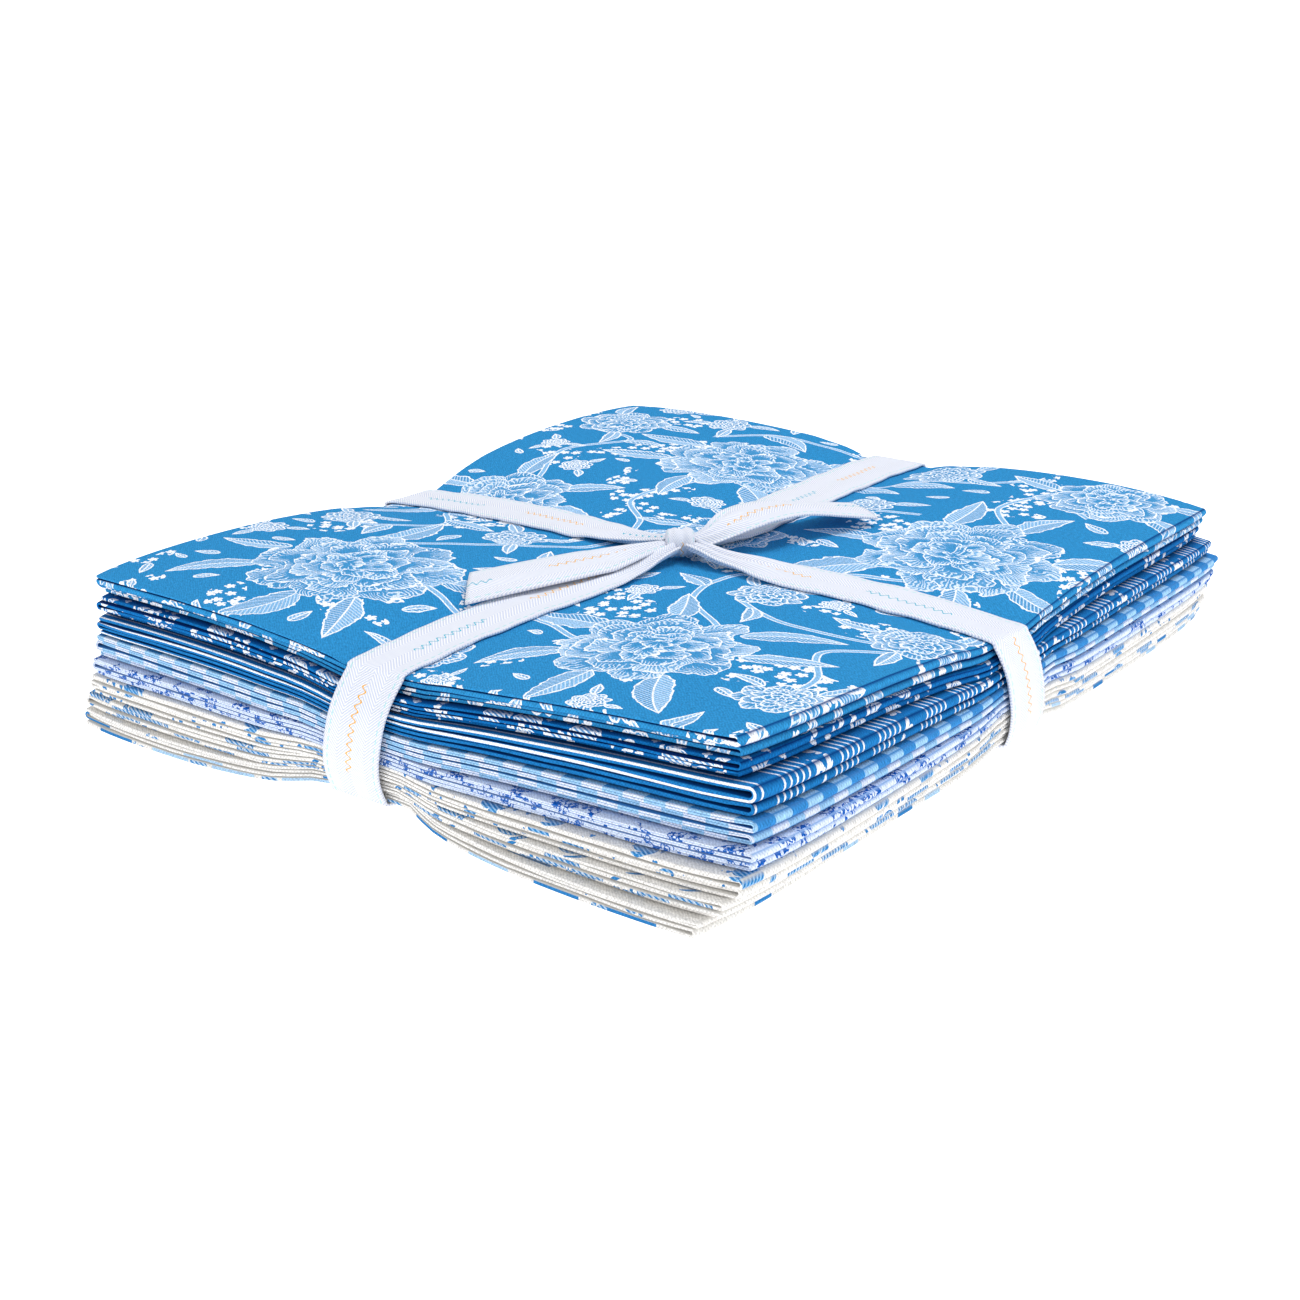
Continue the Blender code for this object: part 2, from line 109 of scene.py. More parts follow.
def curve_points(knots: list[Vector], steps: int, ahead: float = 0.0) -> list[Vector]:
    """Points along a smooth curve through all but the first and last of its knots.

    Args:
        knots: the knots.
        steps: the number of points from one knot to the next.
        ahead: a share of the way to the next knot by which each point lies further on.

    Returns:
        The points, without the one at the curve's end.
    """
    return [catmull_rom(knots[i - 1:i + 3], step / steps + ahead)
            for i in range(1, len(knots) - 2) for step in range(steps)]


def catmull_rom(knots: list[Vector], share: float) -> Vector:
    """A point of the smooth curve between the second and third of four points.

    Args:
        knots: the four points.
        share: the share of the way from the second to the third.

    Returns:
        The point.
    """
    before, start, end, after = knots
    square, cube = share * share, share ** 3
    return 0.5 * (2 * start + (end - before) * share
                  + (2 * before - 5 * start + 4 * end - after) * square
                  + (3 * start - before - 3 * end + after) * cube)


@dataclass(frozen=True)
class Corners:
    """A value at each corner of the bundle."""

    a: float
    b: float
    c: float
    d: float

    def at(self, u: Array, v: Array) -> Array:
        """The value between the corners.

        Args:
            u: places from the left side, -1, to the right side, 1.
            v: places from the front, -1, to the back, 1.

        Returns:
            The values at those places.
        """
        front = mix(self.b, self.a, (u + 1) / 2)
        back = mix(self.c, self.d, (u + 1) / 2)
        return mix(front, back, (v + 1) / 2)


@dataclass(frozen=True)
class Run:
    """One run of tape, from the knot to a side of the bundle.

    at is where its middle crosses the side, edge the side's place under it, depth how far
    it pulls the cloth down there, and the spreads say how far the pull reaches. On its way
    down the side it leans over by lean, it lifts the lower edge by lift, and half way down
    the side swells out by swell.
    """

    at: float
    edge: float
    depth: float
    spread_low: float
    spread_high: float
    lean: float
    lift: float
    swell: float


@dataclass(frozen=True)
class Unevenness:
    """A soft random field, as a sum of a few long waves."""

    seed: int
    length: float
    waves: int = 5

    def at(self, x: Array, y: Array) -> Array:
        """The field's values, mostly between -1 and 1.

        Args:
            x: places in X.
            y: places in Y.

        Returns:
            One value for each place.
        """
        chance = random.Random(self.seed)
        total = 0.0
        for _ in range(self.waves):
            angle = chance.uniform(0, math.tau)
            turns = math.tau / (self.length * chance.uniform(0.6, 1.6))
            phase = chance.uniform(0, math.tau)
            total = total + np.sin((x * math.cos(angle) + y * math.sin(angle)) * turns + phase)
        return total / math.sqrt(2 * self.waves)


@dataclass(frozen=True)
class Lie:
    """How the whole bundle lies: its faces, its sides and the pull of the tape on them."""

    half_width: float = 114.5
    half_depth: float = 133.3
    packets: int = 8
    packet_gap: float = 0.4
    arm_gap: float = 0.12
    band: float = 12.0
    top_height: Corners = Corners(49.8, 47.4, 43.6, 41.6)
    corner_sag: Corners = Corners(0.0, 2.2, 2.6, 2.4)
    sag_power: int = 6
    front: Run = Run(-2.0, -128.8, 9.2, 28.0, 50.0, -8.0, 1.5, 5.0)
    back: Run = Run(3.0, 129.5, 5.2, 18.0, 18.0, 0.0, 1.5, 2.0)
    left: Run = Run(3.0, -108.0, 9.0, 35.0, 28.0, 0.0, 1.5, 2.0)
    right: Run = Run(-8.0, 115.0, 8.6, 55.0, 50.0, 10.0, 4.0, 2.5)
    knot: Pair = (13.5, -16.0)
    knot_pull: float = 2.4
    knot_spread: float = 30.0
    run_bend: float = 1.4
    groove: float = 1.85
    groove_margin: float = 2.5
    groove_fade: float = 15.5
    flat_share: float = 0.8
    side_band: float = 16.0
    side_spread: float = 23.0
    corner_rounding: float = 3.0
    rounding_power: int = 8
    creases_over: Unevenness = Unevenness(3, 62.0)
    crease_height: float = 0.22
    puckers_over: Unevenness = Unevenness(8, 17.0)
    pucker_height: float = 0.30
    pucker_spread: float = 22.0

    def runs(self, way: Way) -> tuple[Run, Run]:
        """The two runs of tape of one way, the one at the lower places first."""
        return (self.left, self.right) if way is Way.ACROSS else (self.front, self.back)

    def of_run(self, way: Way, low: Array, *names: str) -> list[Array]:
        """Values of the lower run of one way where low holds, and else of the higher run."""
        return [np.where(low, *(getattr(run, name) for run in self.runs(way))) for name in names]

    def line(self, way: Way, place: Array) -> tuple[Array, Array, Array]:
        """Follows the middle of the tape.

        Args:
            way: the way that the tape runs.
            place: places along that way.

        Returns:
            Where the tape's middle lies across its way, how far along its run each place
            is, from 0 at the knot to 1 at the side, and whether it is on the lower run.
        """
        knot = self.knot[way.value]
        low = place < knot
        at, edge = self.of_run(way, low, "at", "edge")
        share = np.clip((place - knot) / (edge - knot), 0, 1)
        return mix(at, self.knot[1 - way.value], (1 - share) ** self.run_bend), share, low

    def middle(self, way: Way, place: Array) -> Array:
        """Where the tape's middle lies across its way, at places along the way."""
        return self.line(way, place)[0]

    def under(self, way: Way, place: Array) -> Array:
        """Where the middle of the tape under the bundle lies across its way."""
        middle, share, low = self.line(way, place)
        return middle + self.of_run(way, low, "lean")[0] * share ** 2

    def pull(self, way: Way, place: Array, other: Array) -> Array:
        """Works out how far the tape of one way pulls the cloth down.

        Args:
            way: the way that the tape runs.
            place: places along that way.
            other: places across it.

        Returns:
            The drop of the cloth at each place.
        """
        middle, share, low = self.line(way, place)
        depth, below, above = self.of_run(way, low, "depth", "spread_low", "spread_high")
        off = other - middle
        spread = mix(self.knot_spread, np.where(off < 0, below, above), share)
        past = np.maximum(0.0, np.abs(off) - self.band)
        return mix(self.knot_pull, depth, share ** 2) * np.exp(-past / spread)

    def top(self, x: Array, y: Array) -> Array:
        """The height of the bundle's upper face.

        Args:
            x: places in X.
            y: places in Y.

        Returns:
            The heights there, with the tape's grooves and the sagging corners.
        """
        u, v = x / self.half_width, y / self.half_depth
        pulled = np.hypot(self.pull(Way.ACROSS, x, y), self.pull(Way.ALONG, y, x))
        sag = self.corner_sag.at(u, v) * np.abs(u * v) ** self.sag_power
        return self.top_height.at(u, v) - pulled - sag

    def creases(self, x: Array, y: Array) -> Array:
        """The small waves of the upper face, and the puckers beside the tape.

        Args:
            x: places in X.
            y: places in Y.

        Returns:
            The rise of the cloth there.
        """
        from_across = np.abs(y - self.middle(Way.ACROSS, x)) - self.band
        from_along = np.abs(x - self.middle(Way.ALONG, y)) - self.band
        nearest = np.minimum(np.abs(from_across), np.abs(from_along))
        puckers = self.puckers_over.at(x, y) * np.exp(-nearest / self.pucker_spread)
        return self.crease_height * self.creases_over.at(x, y) + self.pucker_height * puckers

    def groove_at(self, off: Array) -> Array:
        """The room for the tape under the bundle, at distances from its middle."""
        past = np.maximum(0.0, np.abs(off) - self.band - self.groove_margin)
        return self.groove * np.maximum(0.0, 1 - past / self.groove_fade)

    def side_pull(self, off: Array) -> Array:
        """How much of a side's own shape the tape takes away, at distances from its middle."""
        return np.exp(-np.maximum(0.0, np.abs(off) - self.side_band) / self.side_spread)

    def lifted(self, way: Way, place: Array, other: Array) -> Array:
        """How far the tape of one way lifts the bundle's lower edges.

        Args:
            way: the way that the tape runs.
            place: places along that way.
            other: places across it.

        Returns:
            The lift there.
        """
        half = self.half_width if way is Way.ACROSS else self.half_depth
        near_side = (np.abs(place) / half - self.flat_share) / (1 - self.flat_share)
        lift = self.of_run(way, place < 0, "lift")[0] * np.clip(near_side, 0, 1)
        return lift * self.side_pull(other - self.under(way, place))

    def floor(self, x: Array, y: Array) -> Array:
        """The height of the bundle's lower face.

        Args:
            x: places in X.
            y: places in Y.

        Returns:
            The heights there, with the grooves for the tape.
        """
        lift = np.maximum(self.lifted(Way.ACROSS, x, y), self.lifted(Way.ALONG, y, x))
        grooves = (self.groove_at(y - self.under(Way.ACROSS, x))
                   + self.groove_at(x - self.under(Way.ALONG, y)))
        return grooves + lift - self.packet_gap / 2

    def swelling(self, share: float) -> float:
        """How much of a side's swell shows at a share of its height: none at both ends."""
        near_end = min(share, 1 - share) * self.packets / (self.packets - 1)
        return 1 - (1 - 2 * min(0.5, near_end)) ** 2

    def side(self, way: Way, high: bool, reach: Pair, other: Array,
             down: float, inset: float | Array = 0.0) -> Array:
        """Places one side of a packet.

        Args:
            way: ACROSS for the left and right sides, ALONG for the front and back.
            high: whether it is the right or back side.
            reach: how far it reaches past the nominal side at its lower and higher ends.
            other: places along the side.
            down: the packet's share of the way down the side.
            inset: how far the edge is tucked in.

        Returns:
            The side's place at each of those places.
        """
        halves = (self.half_width, self.half_depth)
        half, length = halves if way is Way.ACROSS else halves[::-1]
        run = self.runs(way)[int(high)]
        sign = 1 if high else -1
        share = other / length
        rounding = self.corner_rounding * np.minimum(1.0, np.abs(share)) ** self.rounding_power
        own = sign * (half + mix(*reach, (share + 1) / 2) - rounding - inset)
        swell = self.swelling(min(down, 1 - down) - 0.5 / self.packets) * run.swell
        return mix(own, run.edge + sign * swell, self.side_pull(other - run.at - run.lean * down))


@dataclass(frozen=True)
class Mark:
    """Something printed on the cloth, at a place and turned to an angle."""

    x: float
    y: float
    angle: float

    def turned(self, steps: Array) -> tuple[Array, Array]:
        """Steps from the mark's place, along and across its own direction."""
        cos, sin = math.cos(self.angle), math.sin(self.angle)
        return steps[:, 0] * cos + steps[:, 1] * sin, steps[:, 1] * cos - steps[:, 0] * sin

    @property
    def place(self) -> Pair:
        """The mark's place."""
        return self.x, self.y

    def off(self, distance: float, angle: float) -> Pair:
        """The place at a distance and an angle from the mark's own."""
        return self.x + distance * math.cos(angle), self.y + distance * math.sin(angle)


@dataclass(frozen=True)
class Peony(Mark):
    """One printed flower, with its middle at its place.

    Its values are the place in it in units of its radius, the radius and its number.
    """

    radius: float
    outside: ClassVar[tuple[float, ...]] = (9.0, 9.0, 10.0, 0.0)

    @property
    def reach(self) -> float:
        """How far off a face still belongs to the flower, in units of its radius."""
        return 1.25 + 3 / self.radius

    def near(self, steps: Array) -> Array:
        """How far steps lead from the middle, in units of the radius."""
        return np.linalg.norm(steps, axis=1) / self.radius

    def values(self, steps: Array, number: int) -> tuple[Array | float, ...]:
        """The values where steps lead, in the flower of this number."""
        return *self.turned(steps / self.radius), self.radius, number


@dataclass(frozen=True)
class Leaf(Mark):
    """One printed leaf, with its base at its place, and its midrib's length and bow.

    Its values are the share along it, the share of its half width to the side, the half
    width and its length.
    """

    length: float
    half_width: float
    bow: float
    outside: ClassVar[tuple[float, ...]] = (9.0, 9.0, 4.0, 0.0)
    reach: ClassVar[float] = 1.9

    def point(self, share: float) -> Pair:
        """Follows the midrib.

        Args:
            share: the share of its length.

        Returns:
            The place of its point there.
        """
        along = share * self.length
        side = self.bow * self.length * share * (1 - share)
        cos, sin = math.cos(self.angle), math.sin(self.angle)
        return self.x + along * cos - side * sin, self.y + along * sin + side * cos

    def near(self, steps: Array) -> Array:
        """How far steps lead from the leaf's middle, in shares of its own sizes."""
        along, across, _, _ = self.values(steps)
        return np.hypot((along - 0.5) * 2.2, across)

    def values(self, steps: Array, _number: int = 0) -> tuple[Array | float, ...]:
        """Places points in the leaf.

        Args:
            steps: the steps to them from its base.
            _number: the leaf's number, which isn't written.

        Returns:
            The values there.
        """
        along, across = self.turned(steps)
        along = along / self.length
        inside = np.clip(along, 0, 1)
        across = across - self.bow * self.length * inside * (1 - inside)
        return along, across / self.half_width, self.half_width, self.length


@dataclass(frozen=True)
class Stem(Mark):
    """One point of a vine, with the vine's length up to it.

    Its values are the length along the vine and the distance to the side.
    """

    length: float
    outside: ClassVar[tuple[float, ...]] = (0.0, 9.0, 0.0, 0.0)
    reach: ClassVar[float] = 4.5

    def near(self, steps: Array) -> Array:
        """How far steps lead."""
        return np.linalg.norm(steps, axis=1)

    def values(self, steps: Array, _number: int) -> tuple[Array | float, ...]:
        """The values where steps lead."""
        along, across = self.turned(steps)
        return self.length + along, across


@dataclass
class Garland:
    """The layout of the large floral print: peonies, vines and leaves on one repeat."""

    repeat: Pair = (238.0, 272.0)
    peonies: tuple[Peony, ...] = (
        Peony(-58, -82, 0.2, 31), Peony(52, -88, 1.1, 27), Peony(72, 36, 2.3, 31),
        Peony(-32, 84, 0.8, 30), Peony(-84, 12, 1.7, 25), Peony(84, 112, 0.4, 22),
        Peony(4, 16, 2.9, 17), Peony(-96, 104, 2.0, 16), Peony(-6, -52, 0.9, 13),
        Peony(100, -38, 1.4, 14), Peony(-2, -116, 0.1, 12), Peony(24, 118, 2.6, 13),
        Peony(24, 66, 1.9, 9), Peony(-44, -28, 0.6, 10), Peony(-100, -38, 2.2, 9),
        Peony(100, -104, 1.0, 11), Peony(-66, 124, 0.3, 8), Peony(48, -30, 1.2, 11),
    )
    vines: tuple[tuple[Pair, ...], ...] = (
        ((-58, -52), (-40, -38), (-20, -22), (-24, 6), (-40, 26), (-34, 56)),
        ((52, -62), (34, -46), (30, -20), (44, -4), (66, 6)),
        ((-84, 38), (-92, 62), (-80, 84), (-96, 90)),
        ((72, 66), (60, 84), (66, 104), (84, 92)),
        ((-28, -84), (-8, -92), (8, -84), (28, -92)),
        ((100, -52), (88, -66), (98, -84), (100, -94)),
        ((-2, 84), (12, 94), (22, 106), (40, 110), (56, 122)),
        ((-84, -14), (-72, -28), (-84, -42), (-100, -46)),
        ((4, 32), (10, 46), (22, 58), (40, 62)),
        ((-58, 110), (-46, 122), (-24, 126), (-6, 132)),
        ((48, -42), (64, -50), (84, -50), (96, -46)),
    )
    seed: int = 12
    stem_steps: int = 12
    large_radius: float = 20.0
    leaf_base: float = 0.86
    leaf_step: float = 11.0
    fill_tries: int = 420
    bud_room: float = 7.5
    bud_radius: float = 7.0
    sprig_room: float = 3.6
    leaves: list[Leaf] = field(default_factory=list)

    def __post_init__(self) -> None:
        """Grows the whole layout."""
        self.blooms = list(self.peonies)
        self.stems = [stem for vine in self.vines for stem in self.stems_of(vine)]
        chance = random.Random(self.seed)
        self.grow_leaves(chance)
        self.fill_ground(chance)

    def stems_of(self, vine: tuple[Pair, ...]) -> list[Stem]:
        """Follows a vine through its knots.

        Args:
            vine: the knots.

        Returns:
            Its points.
        """
        knots = [Vector(point) for point in (vine[0], *vine, vine[-1])]
        places = curve_points(knots, self.stem_steps)
        beyond = curve_points(knots, self.stem_steps, 0.02)
        found = []
        length = 0.0
        for before, place, ahead in zip((places[0], *places), places, beyond):
            length += (place - before).length
            found.append(Stem(*place, math.atan2(*(ahead - place).yx), length))
        return found

    def grow_leaves(self, chance: random.Random) -> None:
        """Adds the leaves round the peonies and along the vines, none across another.

        Args:
            chance: the source of the leaves' sizes and turns.
        """
        for peony in self.peonies:
            count = 7 if peony.radius > self.large_radius else 4
            for k in range(count):
                angle = peony.angle + math.tau * (k + chance.uniform(-0.2, 0.2)) / count
                length = peony.radius * chance.uniform(0.62, 0.95) + 5
                self.add_leaf(Leaf(*peony.off(peony.radius * self.leaf_base, angle),
                                   angle + chance.uniform(-0.5, 0.5), length,
                                   length * chance.uniform(0.17, 0.23),
                                   chance.uniform(-0.5, 0.5)))
        since, last, side = 0.0, 0.0, 1
        for stem in self.stems:
            since += max(0.0, stem.length - last)
            last = stem.length
            if since > self.leaf_step:
                since, side = 0.0, -side
                angle = stem.angle + side * chance.uniform(0.6, 1.1)
                size = chance.uniform(15, 24)
                self.add_leaf(Leaf(*stem.place, angle, size,
                                   size * chance.uniform(0.19, 0.26),
                                   -side * chance.uniform(0.1, 0.5)))

    def fill_ground(self, chance: random.Random) -> None:
        """Adds buds and sprigs of three leaves where the ground is still open.

        Args:
            chance: the source of their places and turns.
        """
        for _ in range(self.fill_tries):
            spot = Mark(*(chance.uniform(-0.5, 0.5) * period for period in self.repeat),
                        chance.uniform(0, math.tau))
            room = min(
                *(self.gap(spot.place, bloom.place) - bloom.radius for bloom in self.blooms),
                *(self.gap(spot.place, leaf.point(share)) - leaf.half_width
                  for leaf in self.leaves for share in (0.0, 0.25, 0.5, 0.75, 1.0)),
                *(self.gap(spot.place, stem.place) - 1 for stem in self.stems))
            base = 0.0
            if room > self.bud_room:
                radius = min(self.bud_radius, room * 0.62)
                self.blooms.append(Peony(*spot.place, spot.angle, radius))
                base = radius * 0.9
            elif room < self.sprig_room:
                continue
            for k in range(3):
                angle = spot.angle + math.tau * k / 3
                length = chance.uniform(1.3, 1.9) * max(self.sprig_room + 1, room - base)
                self.add_leaf(Leaf(*spot.off(base, angle), angle, length, length * 0.25,
                                   chance.uniform(-0.4, 0.4)))

    def add_leaf(self, leaf: Leaf) -> None:
        """Adds a leaf if it lies clear of the flowers' middles and of the other leaves.

        Args:
            leaf: the leaf to try.
        """
        spots = [leaf.point(share) for share in (0.25, 0.5, 0.75, 1.0)]
        for bloom in self.blooms:
            if any(self.gap(spot, bloom.place) < bloom.radius * 0.9 for spot in spots[1:]):
                return
        for other in self.leaves:
            room = (leaf.half_width + other.half_width) * 0.9 + 0.8
            for share in (0.25, 0.5, 0.75):
                if any(self.gap(spot, other.point(share)) < room for spot in spots):
                    return
        self.leaves.append(leaf)

    def gap(self, start: Pair, end: Pair) -> float:
        """The distance between two points, over the edge of the repeat where that is nearer."""
        steps = [(b - a + period / 2) % period - period / 2
                 for a, b, period in zip(start, end, self.repeat)]
        return math.hypot(*steps)

    def steps(self, mark: Mark, places: Array) -> Array:
        """Steps from a mark to places on the cloth, within one repeat."""
        period = np.array(self.repeat)
        return (places - mark.place + period / 2) % period - period / 2

    def write(self, mesh: bpy.types.Mesh) -> None:
        """Writes on each corner of a mesh where it lies in its flower, leaf and stem.

        Args:
            mesh: the mesh, with its places on the cloth in the UV map cloth.
        """
        corners = np.zeros(len(mesh.loops) * 2, dtype=np.float32)
        mesh.uv_layers["cloth"].data.foreach_get("uv", corners)
        corners = corners.reshape(-1, 2).astype(float)
        starts = np.zeros(len(mesh.polygons), dtype=np.int32)
        counts = np.zeros(len(mesh.polygons), dtype=np.int32)
        mesh.polygons.foreach_get("loop_start", starts)
        mesh.polygons.foreach_get("loop_total", counts)
        centres = np.add.reduceat(corners, starts, axis=0) / counts[:, None]
        for name, marks in (("flower", self.blooms), ("leaf", self.leaves), ("stem", self.stems)):
            best = np.full(len(centres), 9.0)
            chosen = np.full(len(centres), -1)
            for i, mark in enumerate(marks):
                near = mark.near(self.steps(mark, centres))
                closer = near < np.minimum(best, mark.reach)
                best = np.where(closer, near, best)
                chosen = np.where(closer, i, chosen)
            found = np.tile(marks[0].outside, (len(corners), 1))
            of_corners = np.repeat(chosen, counts)
            for i, mark in enumerate(marks):
                here = of_corners == i
                for j, value in enumerate(mark.values(self.steps(mark, corners[here]), i)):
                    found[here, j] = value
            layer = mesh.attributes.new(name, "FLOAT_COLOR", "CORNER")
            layer.data.foreach_set("color", found.astype(np.float32).ravel())


@dataclass(frozen=True)
class Finish:
    """One real finish as a material, with the one way in which nodes are added to it."""

    name: str

    @cached_property
    def material(self) -> bpy.types.Material:
        """Starts the material.

        Returns:
            The material, with its Principled shader.
        """
        material = bpy.data.materials.new(self.name)
        material.use_nodes = True
        return material

    @cached_property
    def place(self) -> Socket:
        """Places on the flat cloth or tape, in millimetres."""
        return self.add("UVMap", uv_map="cloth")

    def add(self, kind: str, *inputs: object, give: int | str = 0, **settings: object) -> Socket:
        """Adds a node.

        Args:
            kind: the node's type without its ShaderNode prefix, and its operation if it has one.
            inputs: a socket, a value or an sRGB code for each input, None to leave one alone.
            give: the output that is wanted.
            settings: the node's own settings.

        Returns:
            The wanted output socket.
        """
        kind, _, operation = kind.partition(" ")
        node = self.material.node_tree.nodes.new("ShaderNode" + kind)
        if operation:
            node.operation = operation
        for name, value in settings.items():
            setattr(node, name, value)
        for place, value in enumerate(inputs):
            if isinstance(value, Socket):
                self.material.node_tree.links.new(value, node.inputs[place])
            elif value is not None:
                node.inputs[place].default_value = (
                    linear_colour(value) if isinstance(value, str) else value)
        return node.outputs[give]

    def finish(self, colour: Socket, normal: Socket, **shader: float) -> bpy.types.Material:
        """Joins colour and normal to the shader.

        Args:
            colour: the surface's colour.
            normal: its normal.
            shader: the shader's other values, with _ for spaces in their names.

        Returns:
            The material.
        """
        principled = self.material.node_tree.nodes["Principled BSDF"]
        self.material.node_tree.links.new(colour, principled.inputs["Base Color"])
        self.material.node_tree.links.new(normal, principled.inputs["Normal"])
        for name, value in shader.items():
            principled.inputs[name.replace("_", " ")].default_value = value
        return self.material


@dataclass(frozen=True)
class Cotton(Finish):
    """Plain-woven quilting cotton: matt and printed, with its threads just showing.

    Each kind of it has its own print, on a ground, and a colour of painted shade for the gaps
    between its folds.
    """

    ground: str = "EBE9E6"
    inks: tuple[str, ...] = ("8FBBE2", "2F7FC0")
    # gap is the painted shade that fills the crevices between the folds
    gap: str = "E0DEDA"
    roughness: float = 0.9
    # The real threads are 0.35 mm apart, too fine to show, so the weave is drawn at 1.0 mm
    thread: float = 1.0
    weave_depth: float = 0.22
    mottle: float = 0.30

    def dress(self) -> bpy.types.Material:
        """Draws the weave, the print, and the painted shade in the gaps between the folds.

        Returns:
            The material.
        """
        add = self.add
        warp = add("TexNoise", self.place, None, 0.35, 2.0, 0.5, noise_dimensions="2D")
        turns = add("VectorMath MULTIPLY", add("VectorMath ADD", self.place, warp),
                    (math.tau / self.thread,) * 3)
        x, y, _ = add("SeparateXYZ", add("VectorMath SINE", turns)).node.outputs
        slub = add("TexNoise", self.place, None, 1.0, 2.0, 0.7, noise_dimensions="2D")
        height = add("Math MULTIPLY_ADD", add("Math MULTIPLY", x, y), 0.25, slub)
        shade = add("MapRange", height, 0.1, 0.9, 1 - self.mottle, 1 + self.mottle)
        printed = add("ValToRGB", self.ink())
        steps = printed.node.color_ramp.elements
        steps[0].color = linear_colour(self.ground)
        steps[1].color = linear_colour(self.inks[-1])
        for i, code in enumerate(self.inks[:-1]):
            steps.new((i + 1) / len(self.inks)).color = linear_colour(code)
        shaded = add("VectorMath MULTIPLY", printed, shade)
        # Painted shade: where the open attribute falls to 0, the colour turns to the gap's painted
        # shade
        clear = add("Attribute", attribute_name="open", give="Fac")
        colour = add("Mix", clear, *[None] * 5, self.gap, shaded, data_type="RGBA", give=2)
        return self.finish(colour, add("Bump", 0.7, self.weave_depth * MM, None, height),
                           Roughness=self.roughness, Specular_IOR_Level=0.06)

    def ink(self) -> Socket:
        """The amount of ink, from 0 on bare ground to 1 for the last ink, as each print draws it."""
        raise NotImplementedError

    def polar(self, place: Socket) -> tuple[Socket, Socket]:
        """The distance from the middle and the angle of a place."""
        x, y, _ = self.add("SeparateXYZ", place).node.outputs
        return self.add("VectorMath LENGTH", place, give="Value"), self.add("Math ARCTAN2", y, x)

    def blossoms(self, spacing: float, radius: float, petals: int,
                 randomness: float = 1.0) -> Socket:
        """Scatters small blossoms over the cloth.

        Args:
            spacing: the blossoms' mean distance.
            radius: their radius.
            petals: the number of their petals.
            randomness: 0 for a regular scatter, 1 for a free one.

        Returns:
            How deep inside a blossom a place lies, in units of the radius.
        """
        add = self.add
        middle = add("TexVoronoi", self.place, None, 1 / spacing, 0.0, *[None] * 4, randomness,
                     give="Position", voronoi_dimensions="2D")
        distance, angle = self.polar(add("VectorMath SUBTRACT", self.place, middle))
        phase = add("Math MULTIPLY_ADD", angle, petals / 2, distance)
        petal = add("Math ABSOLUTE", add("Math SINE", phase))
        edge = add("Math MULTIPLY_ADD", petal, 0.5, 0.5)
        return add("Math SUBTRACT", edge, add("Math DIVIDE", distance, radius))

    def inside(self, depth: Socket) -> Socket:
        """1 inside a shape, and 0 round it."""
        return self.add("Math GREATER_THAN", depth, 0.0)

    def hatched(self, depth: Socket, line: Socket, bare: float, fill: float) -> Socket:
        """Fills a shape with slanting lines.

        Args:
            depth: how deep inside the shape a place lies.
            line: the shape's outline, laid over the filling.
            bare: from -1 for lines that meet to 1 for none.
            fill: the ink between the lines.

        Returns:
            The amount of ink.
        """
        add = self.add
        slanted = add("VectorMath DOT_PRODUCT", self.place, (3.2, 5.2, 0.0), give="Value")
        lines = add("Math GREATER_THAN", add("Math SINE", slanted), bare)
        filling = add("Math MULTIPLY", add("Math MAXIMUM", lines, fill), self.inside(depth))
        return add("Math MAXIMUM", filling, line)


@dataclass(frozen=True)
class Ring:
    """One ring of a peony's petals, in units of the flower's radius."""

    base: float
    scallop: float
    petals: int
    phase: float


